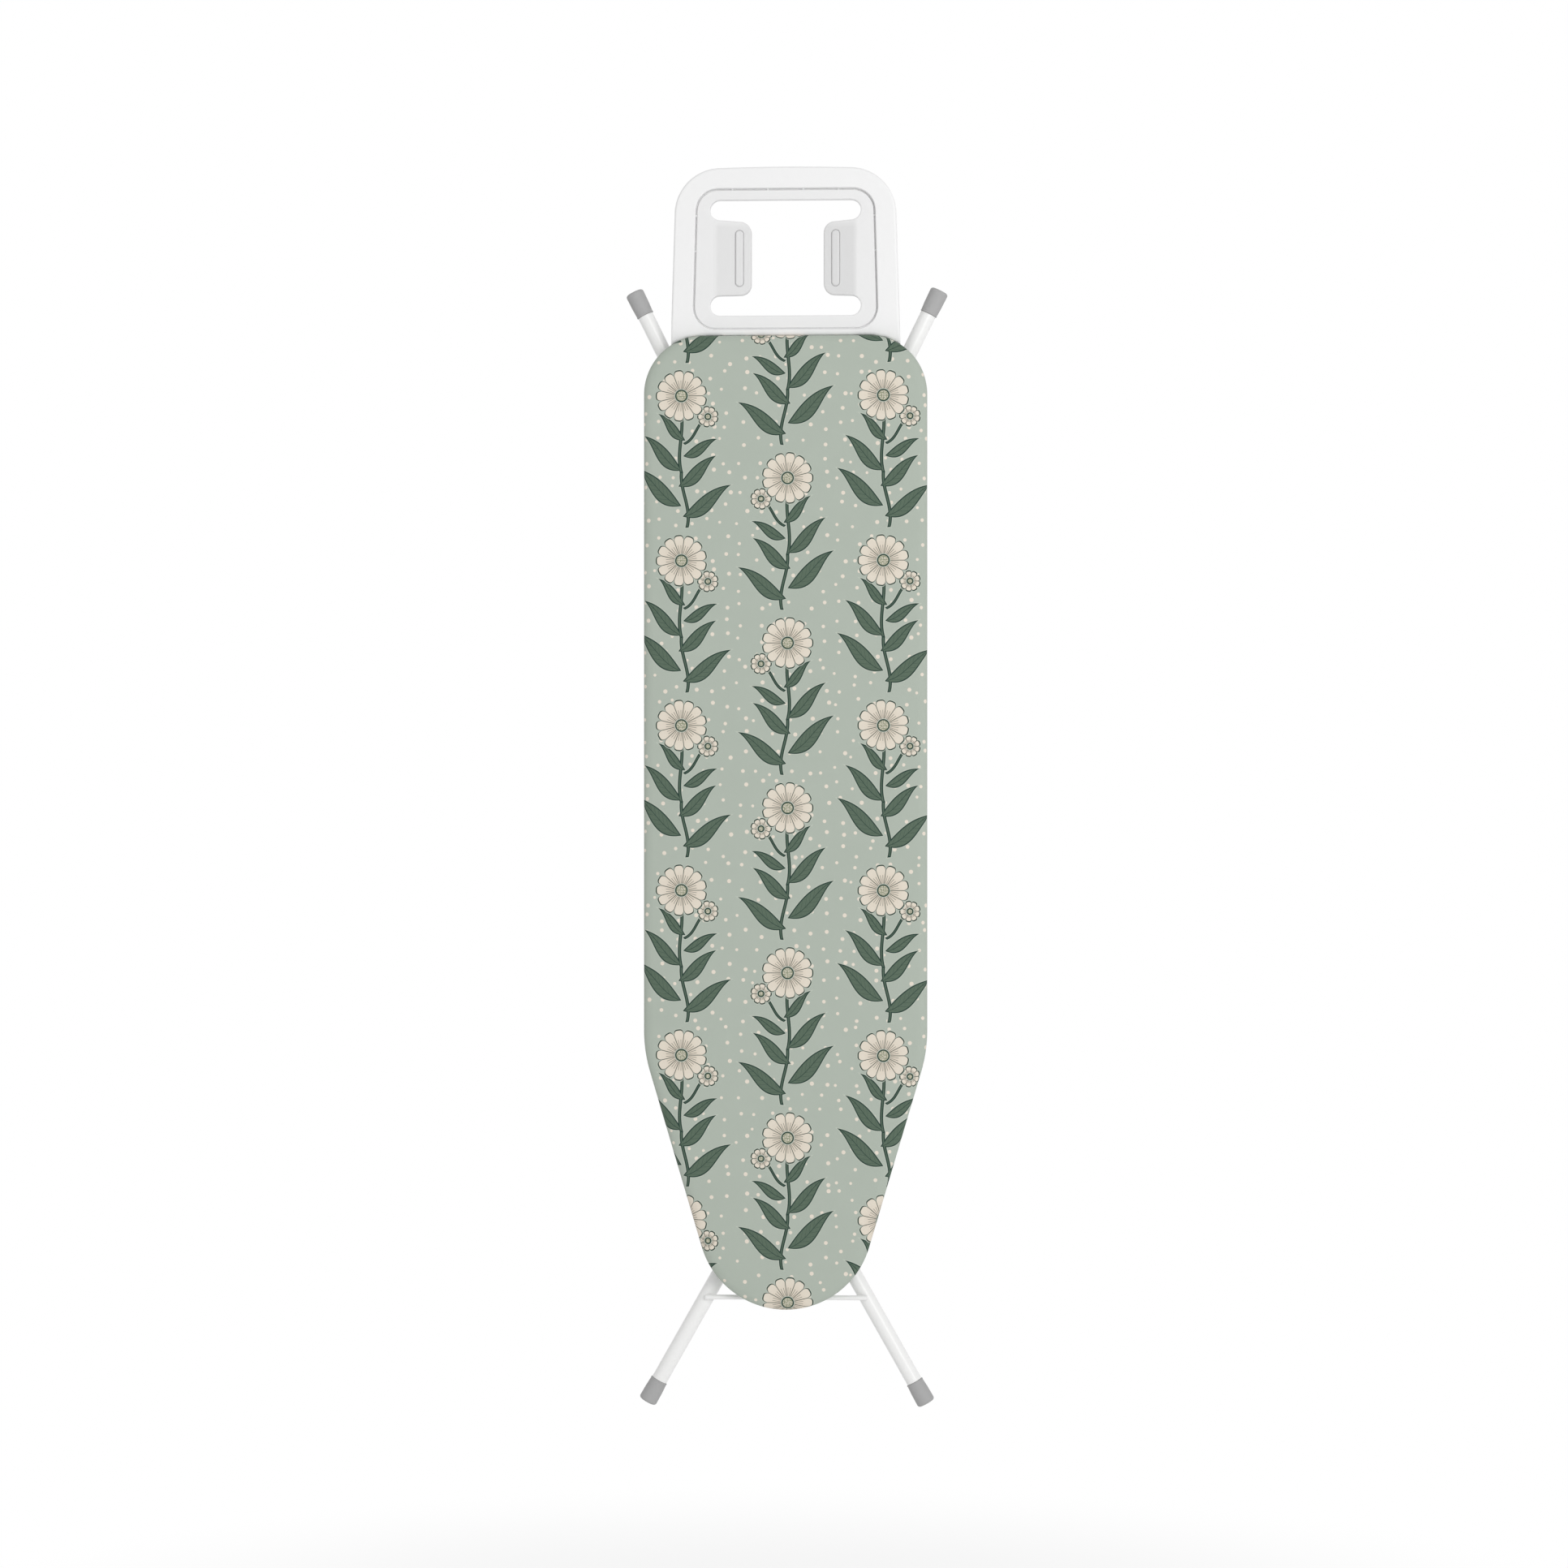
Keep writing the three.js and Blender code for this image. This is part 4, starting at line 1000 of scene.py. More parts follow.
@dataclass
class Cover:
    """The cotton cover: stretched over the front, wrapped round the edge and gathered behind by its hem."""

    outline: BoardOutline = BoardOutline(fine=4)
    edge_across: float = 13.0
    edge_deep: float = 7.0
    back: float = 22.9
    back_radius: float = 3.0
    hem: float = 19.5
    casing: float = 1.3
    gather: float = 8.5
    fullest: float = 3.6
    cloth: float = 0.5
    strap_x: float = 102.0
    strap_reach: float = 17.0
    strap_foot: float = 1000.0
    wire_height: float = 10.7
    wire_reach: float = 9.0
    wire_half: float = 60.0
    loft: Loft = Loft(1.3)

    def profile(self) -> Profile:
        """Works out the wrapped cloth's section.

        Returns:
            Pairs of inset and depth, from the flat front to the end of the hem's casing.
        """
        front = rounding(0.0, 0.0, self.edge_across, self.edge_deep, 12)[::-1]
        wall = [(0.0, self.edge_deep + (self.back - self.back_radius - self.edge_deep) * i / 5)
                for i in range(1, 5)]
        turn = rounding(0.0, self.back, self.back_radius, -self.back_radius, 5)
        flat = [(self.back_radius + (self.hem - self.back_radius) * i / 9, self.back) for i in range(1, 10)]
        roll = [(self.hem + self.casing * 1.6 * math.sin(t), self.back + self.casing * (1 - math.cos(t)))
                for t in (math.pi * i / 6 for i in range(1, 7))]
        tail = [(self.hem - 3.0, self.back + 1.5 * self.casing), (self.hem - 5.0, self.back + 0.6)]
        return [*front, *wall, *turn, *flat, *roll, *tail]

    def gathered(self, place: Vector, inset: float, arc: float, fullness: float) -> float:
        """Works out how far the gathers lift the cloth.

        Args:
            place: Where the cloth lies, in metres.
            inset: How far in from the edge it lies, in millimetres.
            arc: Millimetres along the hem.
            fullness: The cut's length there over the hem's, less one.

        Returns:
            The lift away from the board, in millimetres.
        """
        wander = 4.5 * noise.noise(Vector((arc / 23, 3.1, 0.0)))
        wave = math.sin(math.tau * arc / self.gather + wander)
        small = math.sin(math.tau * arc / (self.gather * 0.56) + 2.1 * wander + 1.0)
        height = self.gather / math.pi * math.sqrt(max(0.0, fullness) + 0.02)
        near = min(1.0, max(0.0, inset - 1.0) / 9.0)
        lift = height * near * (0.55 + 0.45 * wave + 0.2 * small)
        return min(max(lift, 0.0), self.fullest) * (1 - self.pressed(place))

    def pressed(self, place: Vector) -> float:
        """Tells where a strap or a wire holds the gathers down.

        Args:
            place: Where the cloth lies, in metres.

        Returns:
            From 0 where they are free to 1 where they are held down.
        """
        x, height = abs(place.x / MM), height_of(place)
        strap = (self.strap_reach - abs(x - self.strap_x)) / 5 if height > self.strap_foot else 0.0
        wire = (self.wire_reach - abs(height - self.wire_height)) / 4 if x < self.wire_half else 0.0
        return min(1.0, max(0.0, strap, wire))

    def gather_hem(self, wrapped: list[list[BMVert]], cut: list[list[Vector]]) -> None:
        """Lifts the cloth behind the board into gathers, by how much longer its flat cut is.

        Args:
            wrapped: The loops of the wrapped cloth.
            cut: The same loops in the flat cut, in metres.
        """
        arcs = travelled([v.co / MM for v in wrapped[-len(wrapped) // 3]])
        for ring, flat, (inset, depth) in zip(wrapped, cut, self.profile()):
            if depth < self.back - self.back_radius:
                continue
            places = [v.co.copy() for v in ring]
            after = [*range(1, len(ring)), 0]
            for i, (v, place) in enumerate(zip(ring, places)):
                longer = (flat[after[i]] - flat[i - 1]).length / (places[after[i]] - places[i - 1]).length
                v.co.y += self.gathered(place, inset, arcs[i], longer - 1) * MM

    def build(self) -> None:
        profile = self.profile()
        bm = bmesh.new()
        cut = [self.outline.points(self.edge_across - s, 0.0) for s in travelled(profile)]
        wrapped = band(bm, self.outline, profile)
        grid = self.loft.fill(bm, self.outline, wrapped[0], self.edge_across, 0.0)
        places = {v: w.xz for ring, flat in zip(wrapped, cut) for v, w in zip(ring, flat)}
        places.update({v: v.co.xz for v in grid})
        uv = bm.loops.layers.uv.new("cut")
        for face in bm.faces:
            for loop in face.loops:
                loop[uv].uv = places[loop.vert]
        self.gather_hem(wrapped, cut)
        self.loft.swell(bm, grid)
        piece = finished(bm, "cotton_cover", COTTON, Body.BOARD, "cover", sheet=self.cloth, sharp=80)


@dataclass
class Pad:
    """The felt pad between the cover and the mesh top."""

    outline: BoardOutline = BoardOutline(fine=2)
    inset: float = 1.6
    front: float = 1.0
    back: float = 6.0
    loft: Loft = Loft(1.1)

    def build(self) -> None:
        bm = bmesh.new()
        soft = rounding(self.inset, self.front, 12.0, (self.back - self.front) * 0.9, 10)
        rings = band(bm, self.outline, [(self.inset + 0.6, self.back), (self.inset, self.back - 0.5), *soft])
        bmesh.ops.contextual_create(bm, geom=edges_of(rings[0]))
        self.loft.swell(bm, self.loft.fill(bm, self.outline, rings[-1], soft[-1][0], self.front))
        finished(bm, "felt_pad", FELT, Body.BOARD, "pad", sharp=60)


@dataclass
class MeshTop:
    """The expanded steel sheet of the top: staggered diamonds of narrow strands in a plain border."""

    outline: BoardOutline = BoardOutline()
    inset: float = 2.8
    border: float = 15.5
    across: float = 20.0
    along: float = 40.0
    strand: float = 2.2
    front: float = 6.3
    sheet: float = 1.0
    shift: float = 6.0

    def build(self) -> None:
        """Cuts a lattice of diamonds to the board's outline and opens each one."""
        bm = bmesh.new()
        rim = edges_of(self.outline.ring(bm, self.inset, self.front))
        count = math.ceil(self.outline.length / self.along) * 2
        middle = Matrix.Translation(at(0.0, self.front, self.outline.length / 2 + self.shift))
        stretched = Matrix.Diagonal((self.across * MM, 1, self.along * MM, 1))
        place = middle @ stretched @ TO_FRONT @ Matrix.Rotation(math.pi / 4, 4, "Z")
        limit = self.outline.limit(self.inset + self.border)
        grid = framed(bm, rim, place, count, count / math.sqrt(8), limit)
        cells = list(dict.fromkeys(f for v in grid for f in v.link_faces if len(f.verts) == 4))
        bmesh.ops.inset_individual(bm, faces=cells, thickness=self.strand / 2 * MM, use_even_offset=True)
        bmesh.ops.delete(bm, geom=cells, context="FACES")
        for face in bm.faces:
            face.normal_update()
            if face.normal.y > 0:
                face.normal_flip()
        finished(bm, "expanded_mesh_top", ENAMEL, Body.BOARD, "mesh_panel", sheet=self.sheet,
                 recalculated=False)


@dataclass
class EdgeFrame:
    """The folded steel edge under the mesh: a deep wall, a flange in front and a lip behind."""

    outline: BoardOutline = BoardOutline(fine=2)
    inset: float = 1.3
    front: float = 7.6
    back: float = 21.8
    fold: float = 1.6
    flange: float = 12.7
    lip: float = 7.0
    sheet: float = 1.1

    def build(self) -> None:
        """Bends the wall, flange and lip from one strip."""
        bm = bmesh.new()
        front = rounding(self.inset, self.front, self.fold, self.fold, 4)[::-1]
        back = rounding(self.inset, self.back, self.fold, -self.fold, 4)
        ends = (self.inset + self.flange, self.front), (self.inset + self.lip, self.back)
        band(bm, self.outline, [ends[0], *front, *back, ends[1]])
        finished(bm, "folded_edge", ENAMEL, Body.BOARD, "edge_frame", sheet=self.sheet)


# ---- iron rest ----


@dataclass(frozen=True)
class RestOutline(Outline):
    """The iron rest's outline: a faint arch, two round corners, leaning sides and a foot along the board."""

    top: float = 1290.7
    arch_radius: float = 2500.0
    corner_x: float = 73.2
    corner_z: float = 1237.6
    corner_radius: float = 52.0
    lean: float = 1.8
    board: BoardOutline = BoardOutline()
    clear: float = 0.8
    foot_share: float = 1.2

    def arcs(self, inset: float) -> list[Arc]:
        """Lists the arch, the corners and the hollow foot, moved inwards by an inset in millimetres."""
        reach = math.degrees(math.asin(self.corner_x / (self.arch_radius - self.corner_radius)))
        arch = Arc(0, self.top - self.arch_radius, self.arch_radius - inset, 90 + reach, 90 - reach, 12)
        corner = Arc(self.corner_x, self.corner_z, self.corner_radius - inset, 90 - reach, self.lean, 24)
        rear = self.board.arcs(0.0)[0]
        hollow = rear.radius + self.clear + inset * self.foot_share
        tilt = math.radians(self.lean)
        step = Vector((math.sin(tilt), -math.cos(tilt)))
        gap = Vector(corner.point(self.lean)) - Vector((rear.x, rear.z))
        along = gap.dot(step)
        meet = gap - step * (along + math.sqrt(along ** 2 - gap.length_squared + hollow ** 2))
        foot = Arc(rear.x, rear.z, hollow, math.degrees(math.atan2(meet.y, meet.x)), 90, 12)
        return [arch, corner, foot, foot.mirrored(), corner.mirrored()]


@dataclass(frozen=True)
class TrayOutline(Outline):
    """The outline of the sunk tray."""

    radius: float = 26.0

    def arcs(self, inset: float) -> list[Arc]:
        """Lists the tray's four corners, moved inwards by an inset in millimetres."""
        high = Arc(76, 1240.9, self.radius - inset, 90, 0, 16)
        low = Arc(79, 1132.6, self.radius - inset, 0, -90, 16)
        return [high, low, low.mirrored(), high.mirrored()]


@dataclass(frozen=True)
class OpeningOutline(Outline):
    """The H-shaped opening; an inset below 0 makes it larger."""

    slot_x: float = 74.0
    slot_radius: float = 11.3
    high: float = 1242.2
    low: float = 1134.2
    tip_x: float = 53.7
    tip_radius: float = 12.8
    tongue_low: float = 1146.3
    tongue_high: float = 1229.4
    offset: float = 2.2

    def arcs(self, inset: float) -> list[Arc]:
        """Lists the slots' round ends and the tongues' corners."""
        end, tip = self.slot_radius - inset, self.tip_radius + inset
        high, low = (Arc(self.slot_x, z, end, 90, -90, 18) for z in (self.high, self.low))
        right, left = ([high, Arc(x, self.tongue_high - self.tip_radius, tip, 90, 180, 12),
                        Arc(x, self.tongue_low + self.tip_radius, tip, 180, 270, 12), low]
                       for x in (self.tip_x + self.offset, self.tip_x - self.offset))
        return [*right, *(arc.mirrored() for arc in reversed(left))]


@dataclass(frozen=True)
class BarOutline(Outline):
    """A bar with round ends that stands on end."""

    x: float = 0.0
    z: float = 0.0
    half_width: float = 4.15
    half_length: float = 31.4

    def arcs(self, inset: float) -> list[Arc]:
        """Lists the two round ends."""
        reach = self.half_length - self.half_width
        return [Arc(self.x, self.z + way * reach, self.half_width - inset, start, start - 180, 14)
                for way, start in ((1, 180), (-1, 0))]


@dataclass
class IronRest:
    """The moulded iron rest: a domed frame, a sunk tray, tongues with a rib each and a lipped opening."""

    outline: RestOutline = RestOutline()
    tray: TrayOutline = TrayOutline()
    opening: OpeningOutline = OpeningOutline()
    front: float = 5.0
    back: float = 20.0
    round: float = 2.6
    sunk: float = 2.5
    gutter: tuple[tuple[float, float], ...] = (
        (-0.6, 0.0), (-0.2, 0.1), (0.15, 0.45), (0.45, 1.6), (0.75, 4.6), (1.15, 6.2), (1.65, 6.3),
        (2.05, 5.6), (2.35, 3.6), (2.65, 2.75), (3.2, 2.5))
    groove: tuple[tuple[float, float], ...] = (
        (-1.3, 0.0), (-1.05, 0.15), (-0.8, 0.6), (-0.5, 1.3), (-0.25, 1.4), (-0.05, 0.9))
    neck: float = 1142.0
    neck_fall: float = 0.4
    lip: float = 1.4
    lip_back: float = 17.0
    wall: float = 2.0
    rib_x: float = 54.4
    crease: float = 80.0
    crease_half: float = 0.9
    web_edge: float = 0.25
    top_webs: tuple[float, ...] = (-60.0, -20.0, 20.0, 60.0)
    side_webs: tuple[float, ...] = (1196.0, 1236.0)
    boss_x: float = 102.0
    boss_back: float = 23.1
    bosses: tuple[tuple[float, float], ...] = ((1124.0, 14.2), (1164.0, 12.2))
    slope: float = math.tan(math.radians(8.0))

    def leant(self, place: Vector) -> float:
        """Returns how far back a tongue leans at a place, in millimetres."""
        beside = max(0.0, self.crease - abs(place.x) / MM)
        return beside * self.slope if self.opening.low < height_of(place) < self.opening.high else 0.0

    def fallen(self, place: Vector) -> float:
        """Returns how far the neck curves back at a place, in millimetres, nothing at the back's rim."""
        below = max(0.0, self.neck - height_of(place)) / (self.neck - self.outline.board.length)
        return self.neck_fall * below ** 2 * max(0.0, self.back - (place.y - COVER_LOW.y) / MM)

    def lean_back(self, bm: BMesh) -> None:
        """Creases the tongues and leans them back, and curves the neck back towards the board.

        Args:
            bm: The shell's mesh.
        """
        creases = [side * self.crease + offset for side in SIDES
                   for offset in (-self.crease_half, self.crease_half)]
        cuts = [(at(x, 0, 0), ACROSS) for x in creases]
        cuts += [(at(0, 0, self.neck - 4.0 * i), (0, 0, 1)) for i in range(10)]
        for place, normal in cuts:
            whole = [*bm.verts, *bm.edges, *bm.faces]
            bmesh.ops.bisect_plane(bm, geom=whole, dist=1e-7, plane_co=place, plane_no=normal)
        for v in bm.verts:
            v.co.y += (self.leant(v.co) + self.fallen(v.co)) * MM

    def build(self) -> None:
        """Builds the shell and what stiffens it behind."""
        self.shell()
        self.stiffeners()

    def shell(self) -> None:
        """Builds the frame, the gutter, the tray, the tongues' ribs and the opening's lip as one wall."""
        bm = bmesh.new()
        floor = self.front + self.sunk
        dome = rounding(0.0, self.front, self.round, self.round, 8)
        outer = band(bm, self.outline, [(0.0, self.back), (0.0, 15.0), *dome])
        sunk = band(bm, self.tray, [(across, self.front + deep) for across, deep in self.gutter])
        lip = rounding(0.0, floor, -self.lip, self.lip, 5)[::-1]
        hole = band(bm, self.opening, [*lip, (0.0, self.lip_back)])
        bmesh.ops.triangle_fill(bm, use_beauty=True, edges=[*edges_of(outer[-1]), *edges_of(sunk[0])])
        feet = [edge for side in SIDES for edge in self.rib(bm, side, floor)]
        bmesh.ops.triangle_fill(bm, use_beauty=True, edges=[*edges_of(sunk[-1]), *edges_of(hole[0]), *feet])
        self.lean_back(bm)
        turn_to_front(bm)
        piece = finished(bm, "iron_rest_shell", MOULDING, Body.BOARD, "iron_rest", sheet=self.wall,
                         recalculated=False, sharp=50)
        # Faces within the tray take its finish, whose greyer colour and tongues hold painted shade.
        piece.data.materials.append(TRAY.material())
        limit = self.tray.limit(2.0)
        for face in piece.data.polygons:
            face.material_index = int(enclosed(face.center, limit))

    def rib(self, bm: BMesh, side: int, floor: float) -> list[BMEdge]:
        """Adds one tongue's rounded rib in its narrow groove.

        Args:
            bm: The shell's mesh.
            side: 1 for the right tongue and -1 for the left.
            floor: The tray's depth, in millimetres.

        Returns:
            The edges of the groove's rim, which the tray's floor joins.
        """
        middle = (self.opening.tongue_low + self.opening.tongue_high) / 2
        bar = BarOutline(x=side * self.rib_x + self.opening.offset, z=middle)
        groove = [(across, floor + deep) for across, deep in self.groove]
        rings = band(bm, bar, [*groove, *rounding(0.0, floor - 1.3, 1.5, 1.1, 6)])
        bmesh.ops.contextual_create(bm, geom=edges_of(rings[-1]))
        return edges_of(rings[0])

    def stiffeners(self) -> None:
        """Builds the webs across the hollow back and the bosses that take the straps' screws."""
        bm = bmesh.new()
        for x in self.top_webs:
            cuboid(bm, at(x - 0.9, 9.2, 1255.0), at(x + 0.9, 14.0, 1272.0), self.web_edge)
            cuboid(bm, at(x - 0.8, 6.6, 1268.5), at(x + 0.8, 13.8, 1288.0), self.web_edge)
        for side in SIDES:
            for height in self.side_webs:
                for near, far, front, half in ((87, 110, 9.2, 0.9), (106.5, 123, 6.6, 0.8)):
                    left, right = sorted((side * near, side * far))
                    high = at(right, 13.1 + half, height + half)
                    cuboid(bm, at(left, front, height - half), high, self.web_edge)
            for height, front in self.bosses:
                end = self.boss_back - front
                boss = [(2.3, 2.5), (2.3, end), (5.6, end), (6.0, end - 0.4), (6.2, 0.0)]
                turned(bm, boss, at(side * self.boss_x, front, height), BACK, 28)
        finished(bm, "iron_rest_bosses", MOULDING, Body.BOARD, "iron_rest")


# ---- leg frames ----


@dataclass
class LegFrame:
    """A pair of bent steel tubes with plug-in feet, joined by a cross wire and a rod."""

    name: str
    body: Body
    x: float
    bend: float
    splay: float
    away: int
    start: float
    foot_end: float
    wire: float
    rod: Profile
    rod_node: str
    rod_height: float
    rod_depth: float = 24.2
    depth: float = 38.5
    tube: float = 9.0
    bend_radius: float = 60.0
    foot_length: float = 28.2
    wire_radius: float = 2.75
    wire_past: float = 1.5
    wire_end: float = 1.4
    play: float = 0.3
    wall: float = 0.8

    def reach(self, height: float) -> float:
        """Returns how far across the straight lower run of a leg lies at a height, in millimetres."""
        return self.x + abs(height - self.bend) * math.tan(math.radians(self.splay))

    def direction(self, side: int) -> Vector:
        """Returns the way that a leg runs below its bend."""
        turn = math.radians(self.splay)
        return Vector((side * math.sin(turn), 0, self.away * math.cos(turn)))

    def build(self) -> None:
        """Builds both tubes and feet, the wire and the rod."""
        for part in (self.leg, self.foot):
            for side in SIDES:
                part(side)
        self.cross_wire()
        self.cross_rod()

    def leg(self, side: int) -> None:
        """Draws one tube: straight, round its bend and straight to the foot.

        Args:
            side: 1 for the right tube and -1 for the left.
        """
        bm = bmesh.new()
        turn = math.radians(self.splay)
        bend_start = self.bend - self.away * self.bend_radius * math.tan(turn / 2)
        bmesh.ops.create_circle(bm, cap_ends=False, segments=48, radius=self.tube * MM,
                                matrix=Matrix.Translation(at(side * self.x, self.depth, self.start)))
        edges = extruded(bm, list(bm.edges), (0, 0, (bend_start - self.start) * MM))
        made = bmesh.ops.spin(bm, geom=[*edges, *{v for e in edges for v in e.verts}],
                              cent=at(side * (self.x + self.bend_radius), self.depth, bend_start), axis=BACK,
                              angle=side * self.away * turn, steps=14, use_duplicate=False)["geom_last"]
        bend_end = (self.x + self.bend_radius * (1 - math.cos(turn)),
                    bend_start + self.away * self.bend_radius * math.sin(turn))
        whole = math.dist(bend_end, (self.reach(self.foot_end), self.foot_end))
        straight = self.direction(side) * ((whole - self.foot_length - self.play) * MM)
        extruded(bm, [g for g in made if isinstance(g, BMEdge)], straight)
        finished(bm, f"{self.name}_leg_{SIDES[side]}", ENAMEL, self.body, f"{self.name}_tube_{SIDES[side]}",
                 sheet=self.wall, sharp=50)

    def foot(self, side: int) -> None:
        """Turns one foot: a stem in the tube, a thin rim and a slightly flared body with a round end.

        Args:
            side: 1 for the right foot and -1 for the left.
        """
        bm = bmesh.new()
        end = self.foot_length
        tip = at(side * self.reach(self.foot_end), self.depth, self.foot_end)
        start = tip - self.direction(side) * (end * MM)
        stem = [(0, -15), (6.4, -15), (7.0, -14), (7.0, 0.0)]
        rim = [(9.3, 0.0), (9.78, 0.2), (9.98, 0.6), (9.98, 1.3), (9.7, 1.75), (9.66, 2.2), (9.76, 2.8)]
        body = [(10.3, 12.0), *rounding(10.5, end - 0.2, -3.0, -3.0, 7), (3.0, end - 0.05), (0, end)]
        turned(bm, [*stem, *rim, *body], start, self.direction(side), 48)
        finished(bm, f"{self.name}_cap_{SIDES[side]}", RUBBER, self.body, f"{self.name}_foot_{SIDES[side]}",
                 sharp=50)

    def cross_wire(self) -> None:
        """Turns the wire that lies across the front of the tubes, with rounded ends."""
        bm = bmesh.new()
        reach = self.reach(self.wire) + self.wire_past
        near = [(0.0, 0.0), *rounding(self.wire_radius, 0.0, -self.wire_end, self.wire_end, 5)[::-1]]
        far = [(r, 2 * reach - length) for r, length in reversed(near)]
        depth = self.depth - self.tube - self.play - self.wire_radius
        turned(bm, [*near, *far], at(-reach, depth, self.wire), ACROSS, 28)
        finished(bm, f"{self.name}_wire", ENAMEL, self.body, f"{self.name}_cross_wire", sharp=50)

    def cross_rod(self) -> None:
        """Turns the rod that joins the tubes' upper or lower ends."""
        bm = bmesh.new()
        half = [(0.0, self.rod[0][1]), *self.rod]
        whole = [*((r, -length) for r, length in half), *reversed(half)]
        turned(bm, whole, at(0, self.rod_depth, self.rod_height), ACROSS, 32)
        finished(bm, f"{self.name}_rod", ENAMEL, self.body, self.rod_node, sharp=50)


def leg_frames() -> tuple[LegFrame, LegFrame]:
    """Sizes both leg frames.

    Returns:
        The inner and the outer frame.
    """
    inner = LegFrame("inner", Body.INNER, x=48.0, bend=87.4, splay=29.5, away=-1, start=944.0,
                     foot_end=-108.9, wire=11.6, rod=[(4.7, 57.0), (5.0, 56.7)],
                     rod_node="inner_pivot_rod", rod_height=932.0)
    outer = LegFrame("outer", Body.OUTER, x=70.0, bend=942.6, splay=26.3, away=1, start=100.0,
                     foot_end=1153.2, wire=988.0, foot_length=29.6, rod_node="slide_bar", rod_height=112.0,
                     rod=[(4.7, 79.0), (5.0, 78.7), (5.0, 34.8), (4.7, 34.5), (4.0, 34.5)])
    return inner, outer


# ---- fittings ----


@dataclass
class Fittings:
    """Pressed plates, bolts, screws and rivets of the underside."""

    edge: float = 0.35
    head_radius: float = 3.9
    head_height: float = 1.9
    shank: float = 1.95
    plates: tuple[str, ...] = ("height_rack", "pivot_bracket", "lever_bracket", "release_plate",
                               "release_lever", "lever_pin", "lever_spring")
    straps: tuple[str, ...] = ("rest_strap_left", "rest_strap_right", "rest_crossmember")
    twins: tuple[tuple[str, Finish, float], ...] = (
        ("slide_glide", NYLON, 0.3), ("pivot_spacer", NYLON, 0.3), ("pivot_bolt", ZINC, 0.4))

    def build(self) -> None:
        """Builds every fitting."""
        for name in self.plates:
            self.softened(name, ZINC, self.edge)
        for name in self.straps:
            self.softened(name, ENAMEL, self.edge)
        self.softened("lever_grip", NYLON, 0.6)
        for name, finish, edge in self.twins:
            for side in SIDES.values():
                self.softened(f"{name}_{side}", finish, edge)
        for name in ("rest_screw", "strap_rivet"):
            for number in range(1, 5):
                self.head(f"{name}_{number}", name == "rest_screw")

    def softened(self, node: str, finish: Finish, edge: float) -> None:
        """Builds a node's own shape with its sharp edges broken, as pressing and tumbling leave them.

        Args:
            node: The node to follow.
            finish: Its finish.
            edge: How far its edges are rounded, in millimetres.
        """
        source = frame["nodes"][node]
        bm = bmesh.new()
        bm.from_mesh(source.data)
        bmesh.ops.remove_doubles(bm, verts=bm.verts, dist=WELD)
        bmesh.ops.dissolve_limit(bm, angle_limit=math.radians(1.0), verts=bm.verts, edges=bm.edges)
        sharp = [e for e in bm.edges if len(e.link_faces) == 2 and e.calc_face_angle(0.0) > math.radians(40)]
        if node != "lever_spring":
            bevelled(bm, sharp, edge)
        finished(bm, f"{node}_finished", finish, Body(source["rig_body"]), node, recalculated=False)

    def head(self, node: str, screw: bool) -> None:
        """Turns a domed head on a shank; a screw's head has a round hollow.

        Args:
            node: The node to follow.
            screw: Whether it is a screw, not a rivet.
        """
        low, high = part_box(node)
        bm = bmesh.new()
        middle = (low + high) / 2
        length = (high.y - low.y) / MM
        radius, seat = self.head_radius, length - self.head_height
        dome = rounding(radius, length, -radius, -self.head_height, 6)
        if screw:
            dome = [(radius, seat), (radius, length - 1.1), (3.6, length - 0.6), (2.9, length - 0.25),
                    (1.7, length - 0.05), (1.1, length - 0.9), (0.0, length - 1.3)]
        shank = [(0.0, 0.0), (1.6, 0.2), (self.shank, 0.8), (self.shank, seat)]
        turned(bm, [*shank, *dome], Vector((middle.x, low.y, middle.z)), BACK, 24)
        finished(bm, f"{node}_finished", ZINC, Body.BOARD, node)


# ---- studio ----


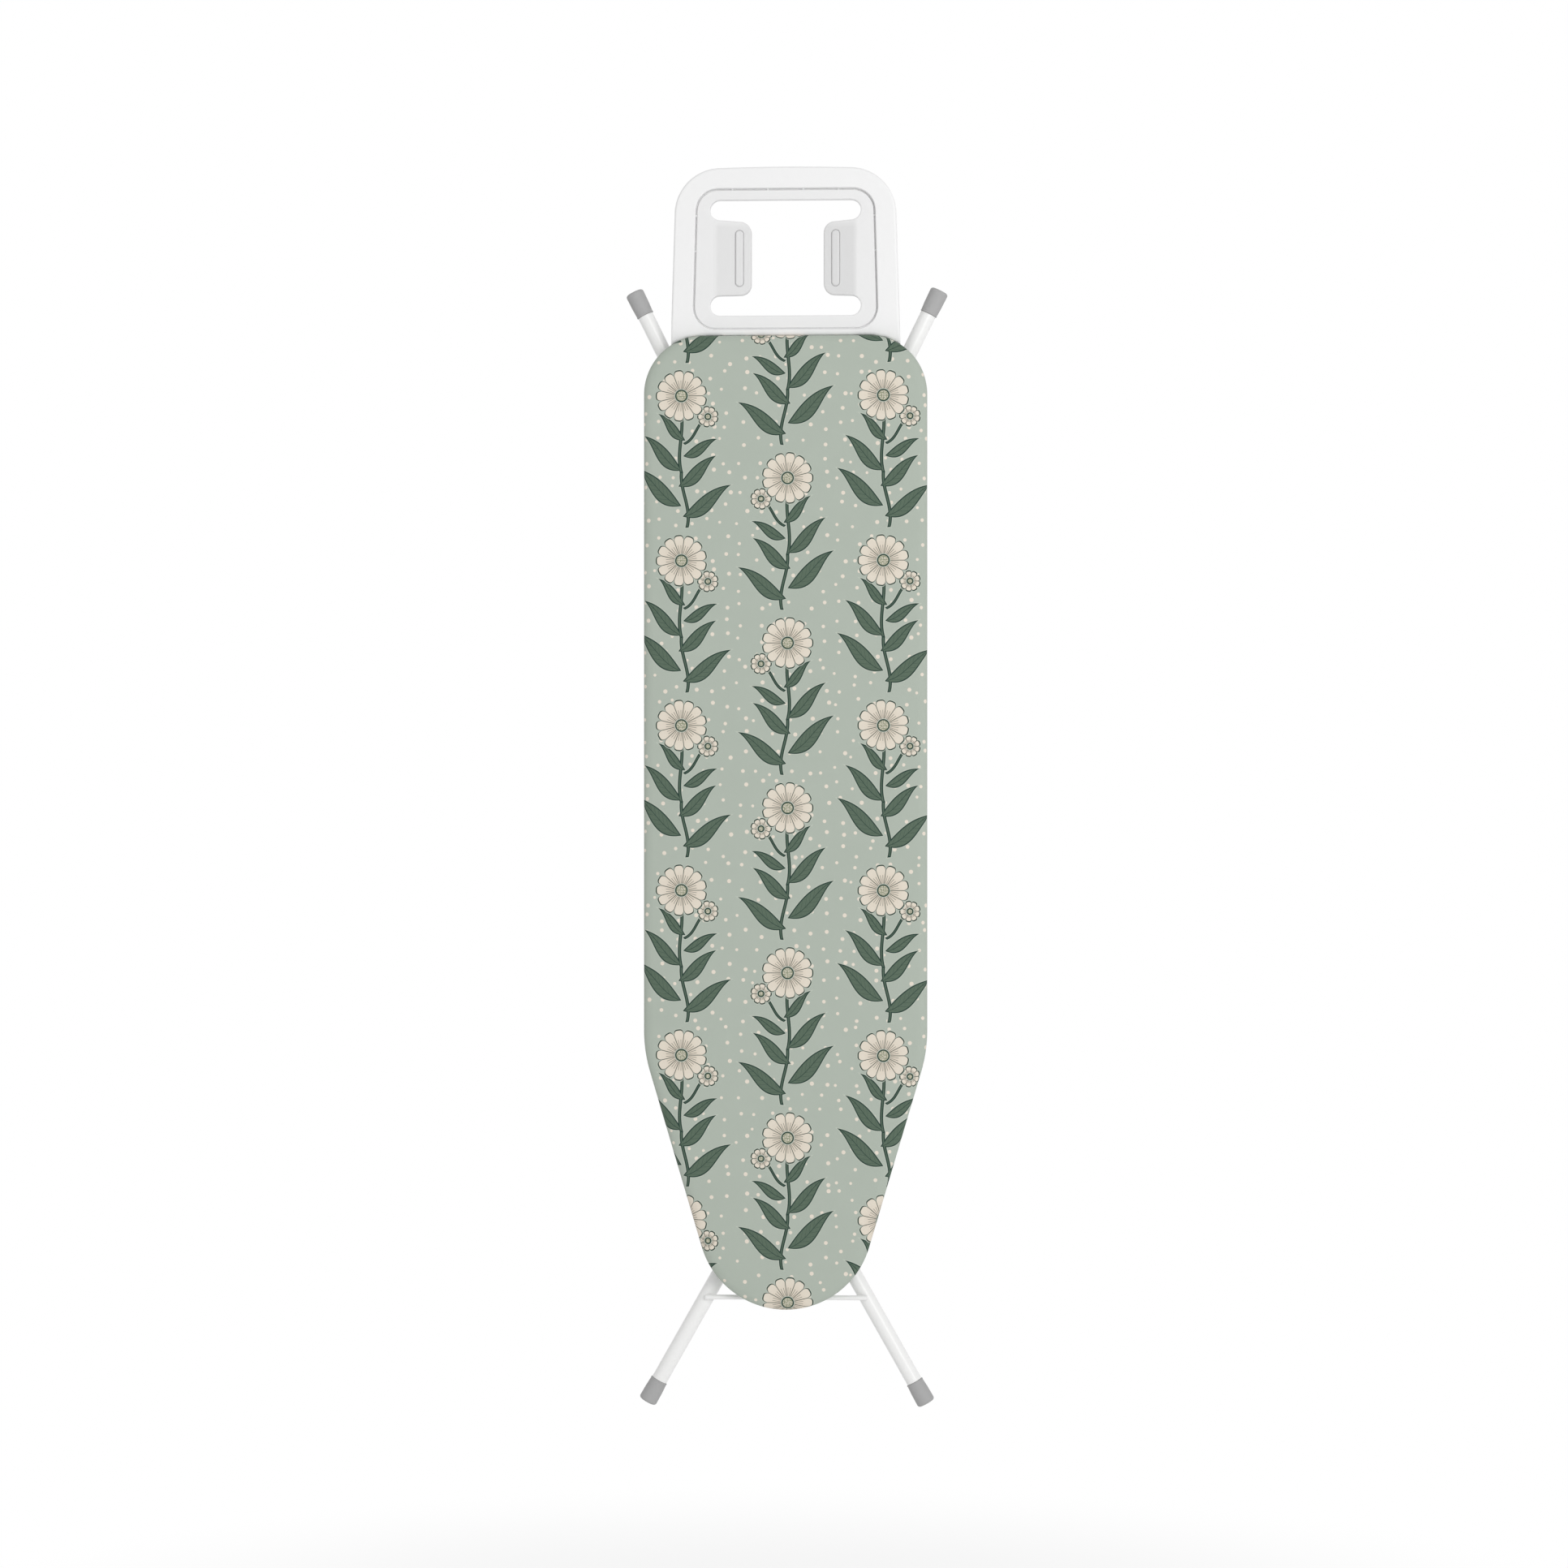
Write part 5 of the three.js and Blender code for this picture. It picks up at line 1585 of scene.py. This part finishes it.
@dataclass
class Studio:
    """The camera, one soft lamp, the white surroundings and the pale floor."""

    target: tuple[float, float, float] = (-0.0011, -0.011, -0.657)
    distance: float = 4.911
    azimuth: float = 3.0
    lens: float = 100.0
    sensor: float = 36.0
    floor: float = -1.62
    floor_size: float = 40.0
    above: float = 0.45
    below: float = 0.37
    ahead: float = 0.15
    behind: float = 0.75
    lamp_place: tuple[float, float, float] = (2.2, -4.2, 0.5)
    lamp_target: tuple[float, float, float] = (0.0, 0.0, -0.65)
    lamp_size: tuple[float, float] = (2.2, 2.6)
    power: float = 85.0
    direct: tuple[str, ...] = ("Is Camera Ray", "Is Glossy Ray", "Is Transmission Ray")

    def build(self) -> None:
        """Sets everything up, with colours shown as they are written."""
        bpy.context.scene.view_settings.view_transform = "Standard"
        self.camera()
        self.world()
        self.lamp()
        self.ground()

    def camera(self) -> None:
        """Places the camera level with the board's middle, a little to the right."""
        data = bpy.data.cameras.new("camera")
        data.lens, data.sensor_width = self.lens, self.sensor
        camera = placed("camera", data)
        turn = math.radians(self.azimuth)
        camera.location = Vector(self.target) + self.distance * Vector((math.sin(turn), -math.cos(turn), 0.0))
        camera.rotation_euler = (math.pi / 2, 0.0, turn)
        bpy.context.scene.camera = camera

    def seen(self, tree: NodeTree) -> NodeSocket:
        """Returns 1 for what the camera sees directly, mirrored or through glass."""
        rays = add(tree, "LightPath").node.outputs
        return reduce(lambda a, b: add(tree, "MAXIMUM", a, b), map(rays.get, self.direct))

    def world(self) -> None:
        """Lights the board from all round, most from behind and above, in front of pure white."""
        world = bpy.data.worlds.new("surroundings")
        tree = emptied(world)
        parts = add(tree, "SeparateXYZ", add(tree, "TexCoord")).node.outputs
        height = add(tree, "MapRange", parts[2], -0.6, 0.5, self.below, self.above)
        ahead = add(tree, "MapRange", parts[1], 0.5, 0.0, 0.0, self.ahead)
        behind = add(tree, "MapRange", parts[1], 0.5, 0.7, 0.0, self.behind)
        light = add(tree, "Background", "#FFFFFF", add(tree, "ADD", add(tree, "ADD", height, ahead), behind))
        white = add(tree, "Background", "#FFFFFF", 1.0)
        add(tree, "OutputWorld", add(tree, "MixShader", self.seen(tree), light, white))
        bpy.context.scene.world = world

    def lamp(self) -> None:
        """Hangs the soft lamp to the right of the camera, pointing at the board's middle."""
        data = bpy.data.lights.new("front_light", "AREA")
        data.shape = "RECTANGLE"
        data.size, data.size_y = self.lamp_size
        data.energy = self.power
        lamp = placed("front_light", data)
        way = Vector(self.lamp_target) - Vector(self.lamp_place)
        lamp.location = self.lamp_place
        lamp.rotation_euler = way.to_track_quat("-Z", "Y").to_euler()
        lamp.visible_camera = False

    def ground(self) -> None:
        """Lays the pale floor below the hanging board: shadows near it, plain white further away."""
        bm = bmesh.new()
        bmesh.ops.create_grid(bm, x_segments=1, y_segments=1, size=self.floor_size,
                              matrix=Matrix.Translation((0, 0, self.floor)))
        mesh = meshed(bm, "floor")
        material = bpy.data.materials.new("pale_floor")
        material.cycles.emission_sampling = "NONE"
        tree = emptied(material)
        flat = add(tree, "VectorMath MULTIPLY", add(tree, "TexCoord", out=3), (1.0, 1.0, 0.0))
        away = add(tree, "VectorMath LENGTH", flat)
        white = add(tree, "MapRange", away, 0.35, 1.1, 0.72, 1.0, interpolation_type="SMOOTHSTEP")
        matt = add(tree, "BsdfDiffuse", "#F8F8F8")
        glow = add(tree, "Emission", "#FFFFFF", 1.0)
        share = add(tree, "MULTIPLY", self.seen(tree), white)
        add(tree, "OutputMaterial", add(tree, "MixShader", share, matt, glow))
        mesh.materials.append(material)
        placed("floor", mesh)


def main() -> None:
    """Builds the whole board and its studio."""
    logging.basicConfig(level=logging.INFO, format="%(relativeCreated)d %(name)s: %(message)s")
    for part in (Pad(), Cover(), MeshTop(), EdgeFrame(), IronRest(), *leg_frames(), Fittings(), Studio()):
        part.build()


if __name__ == "__main__":
    main()
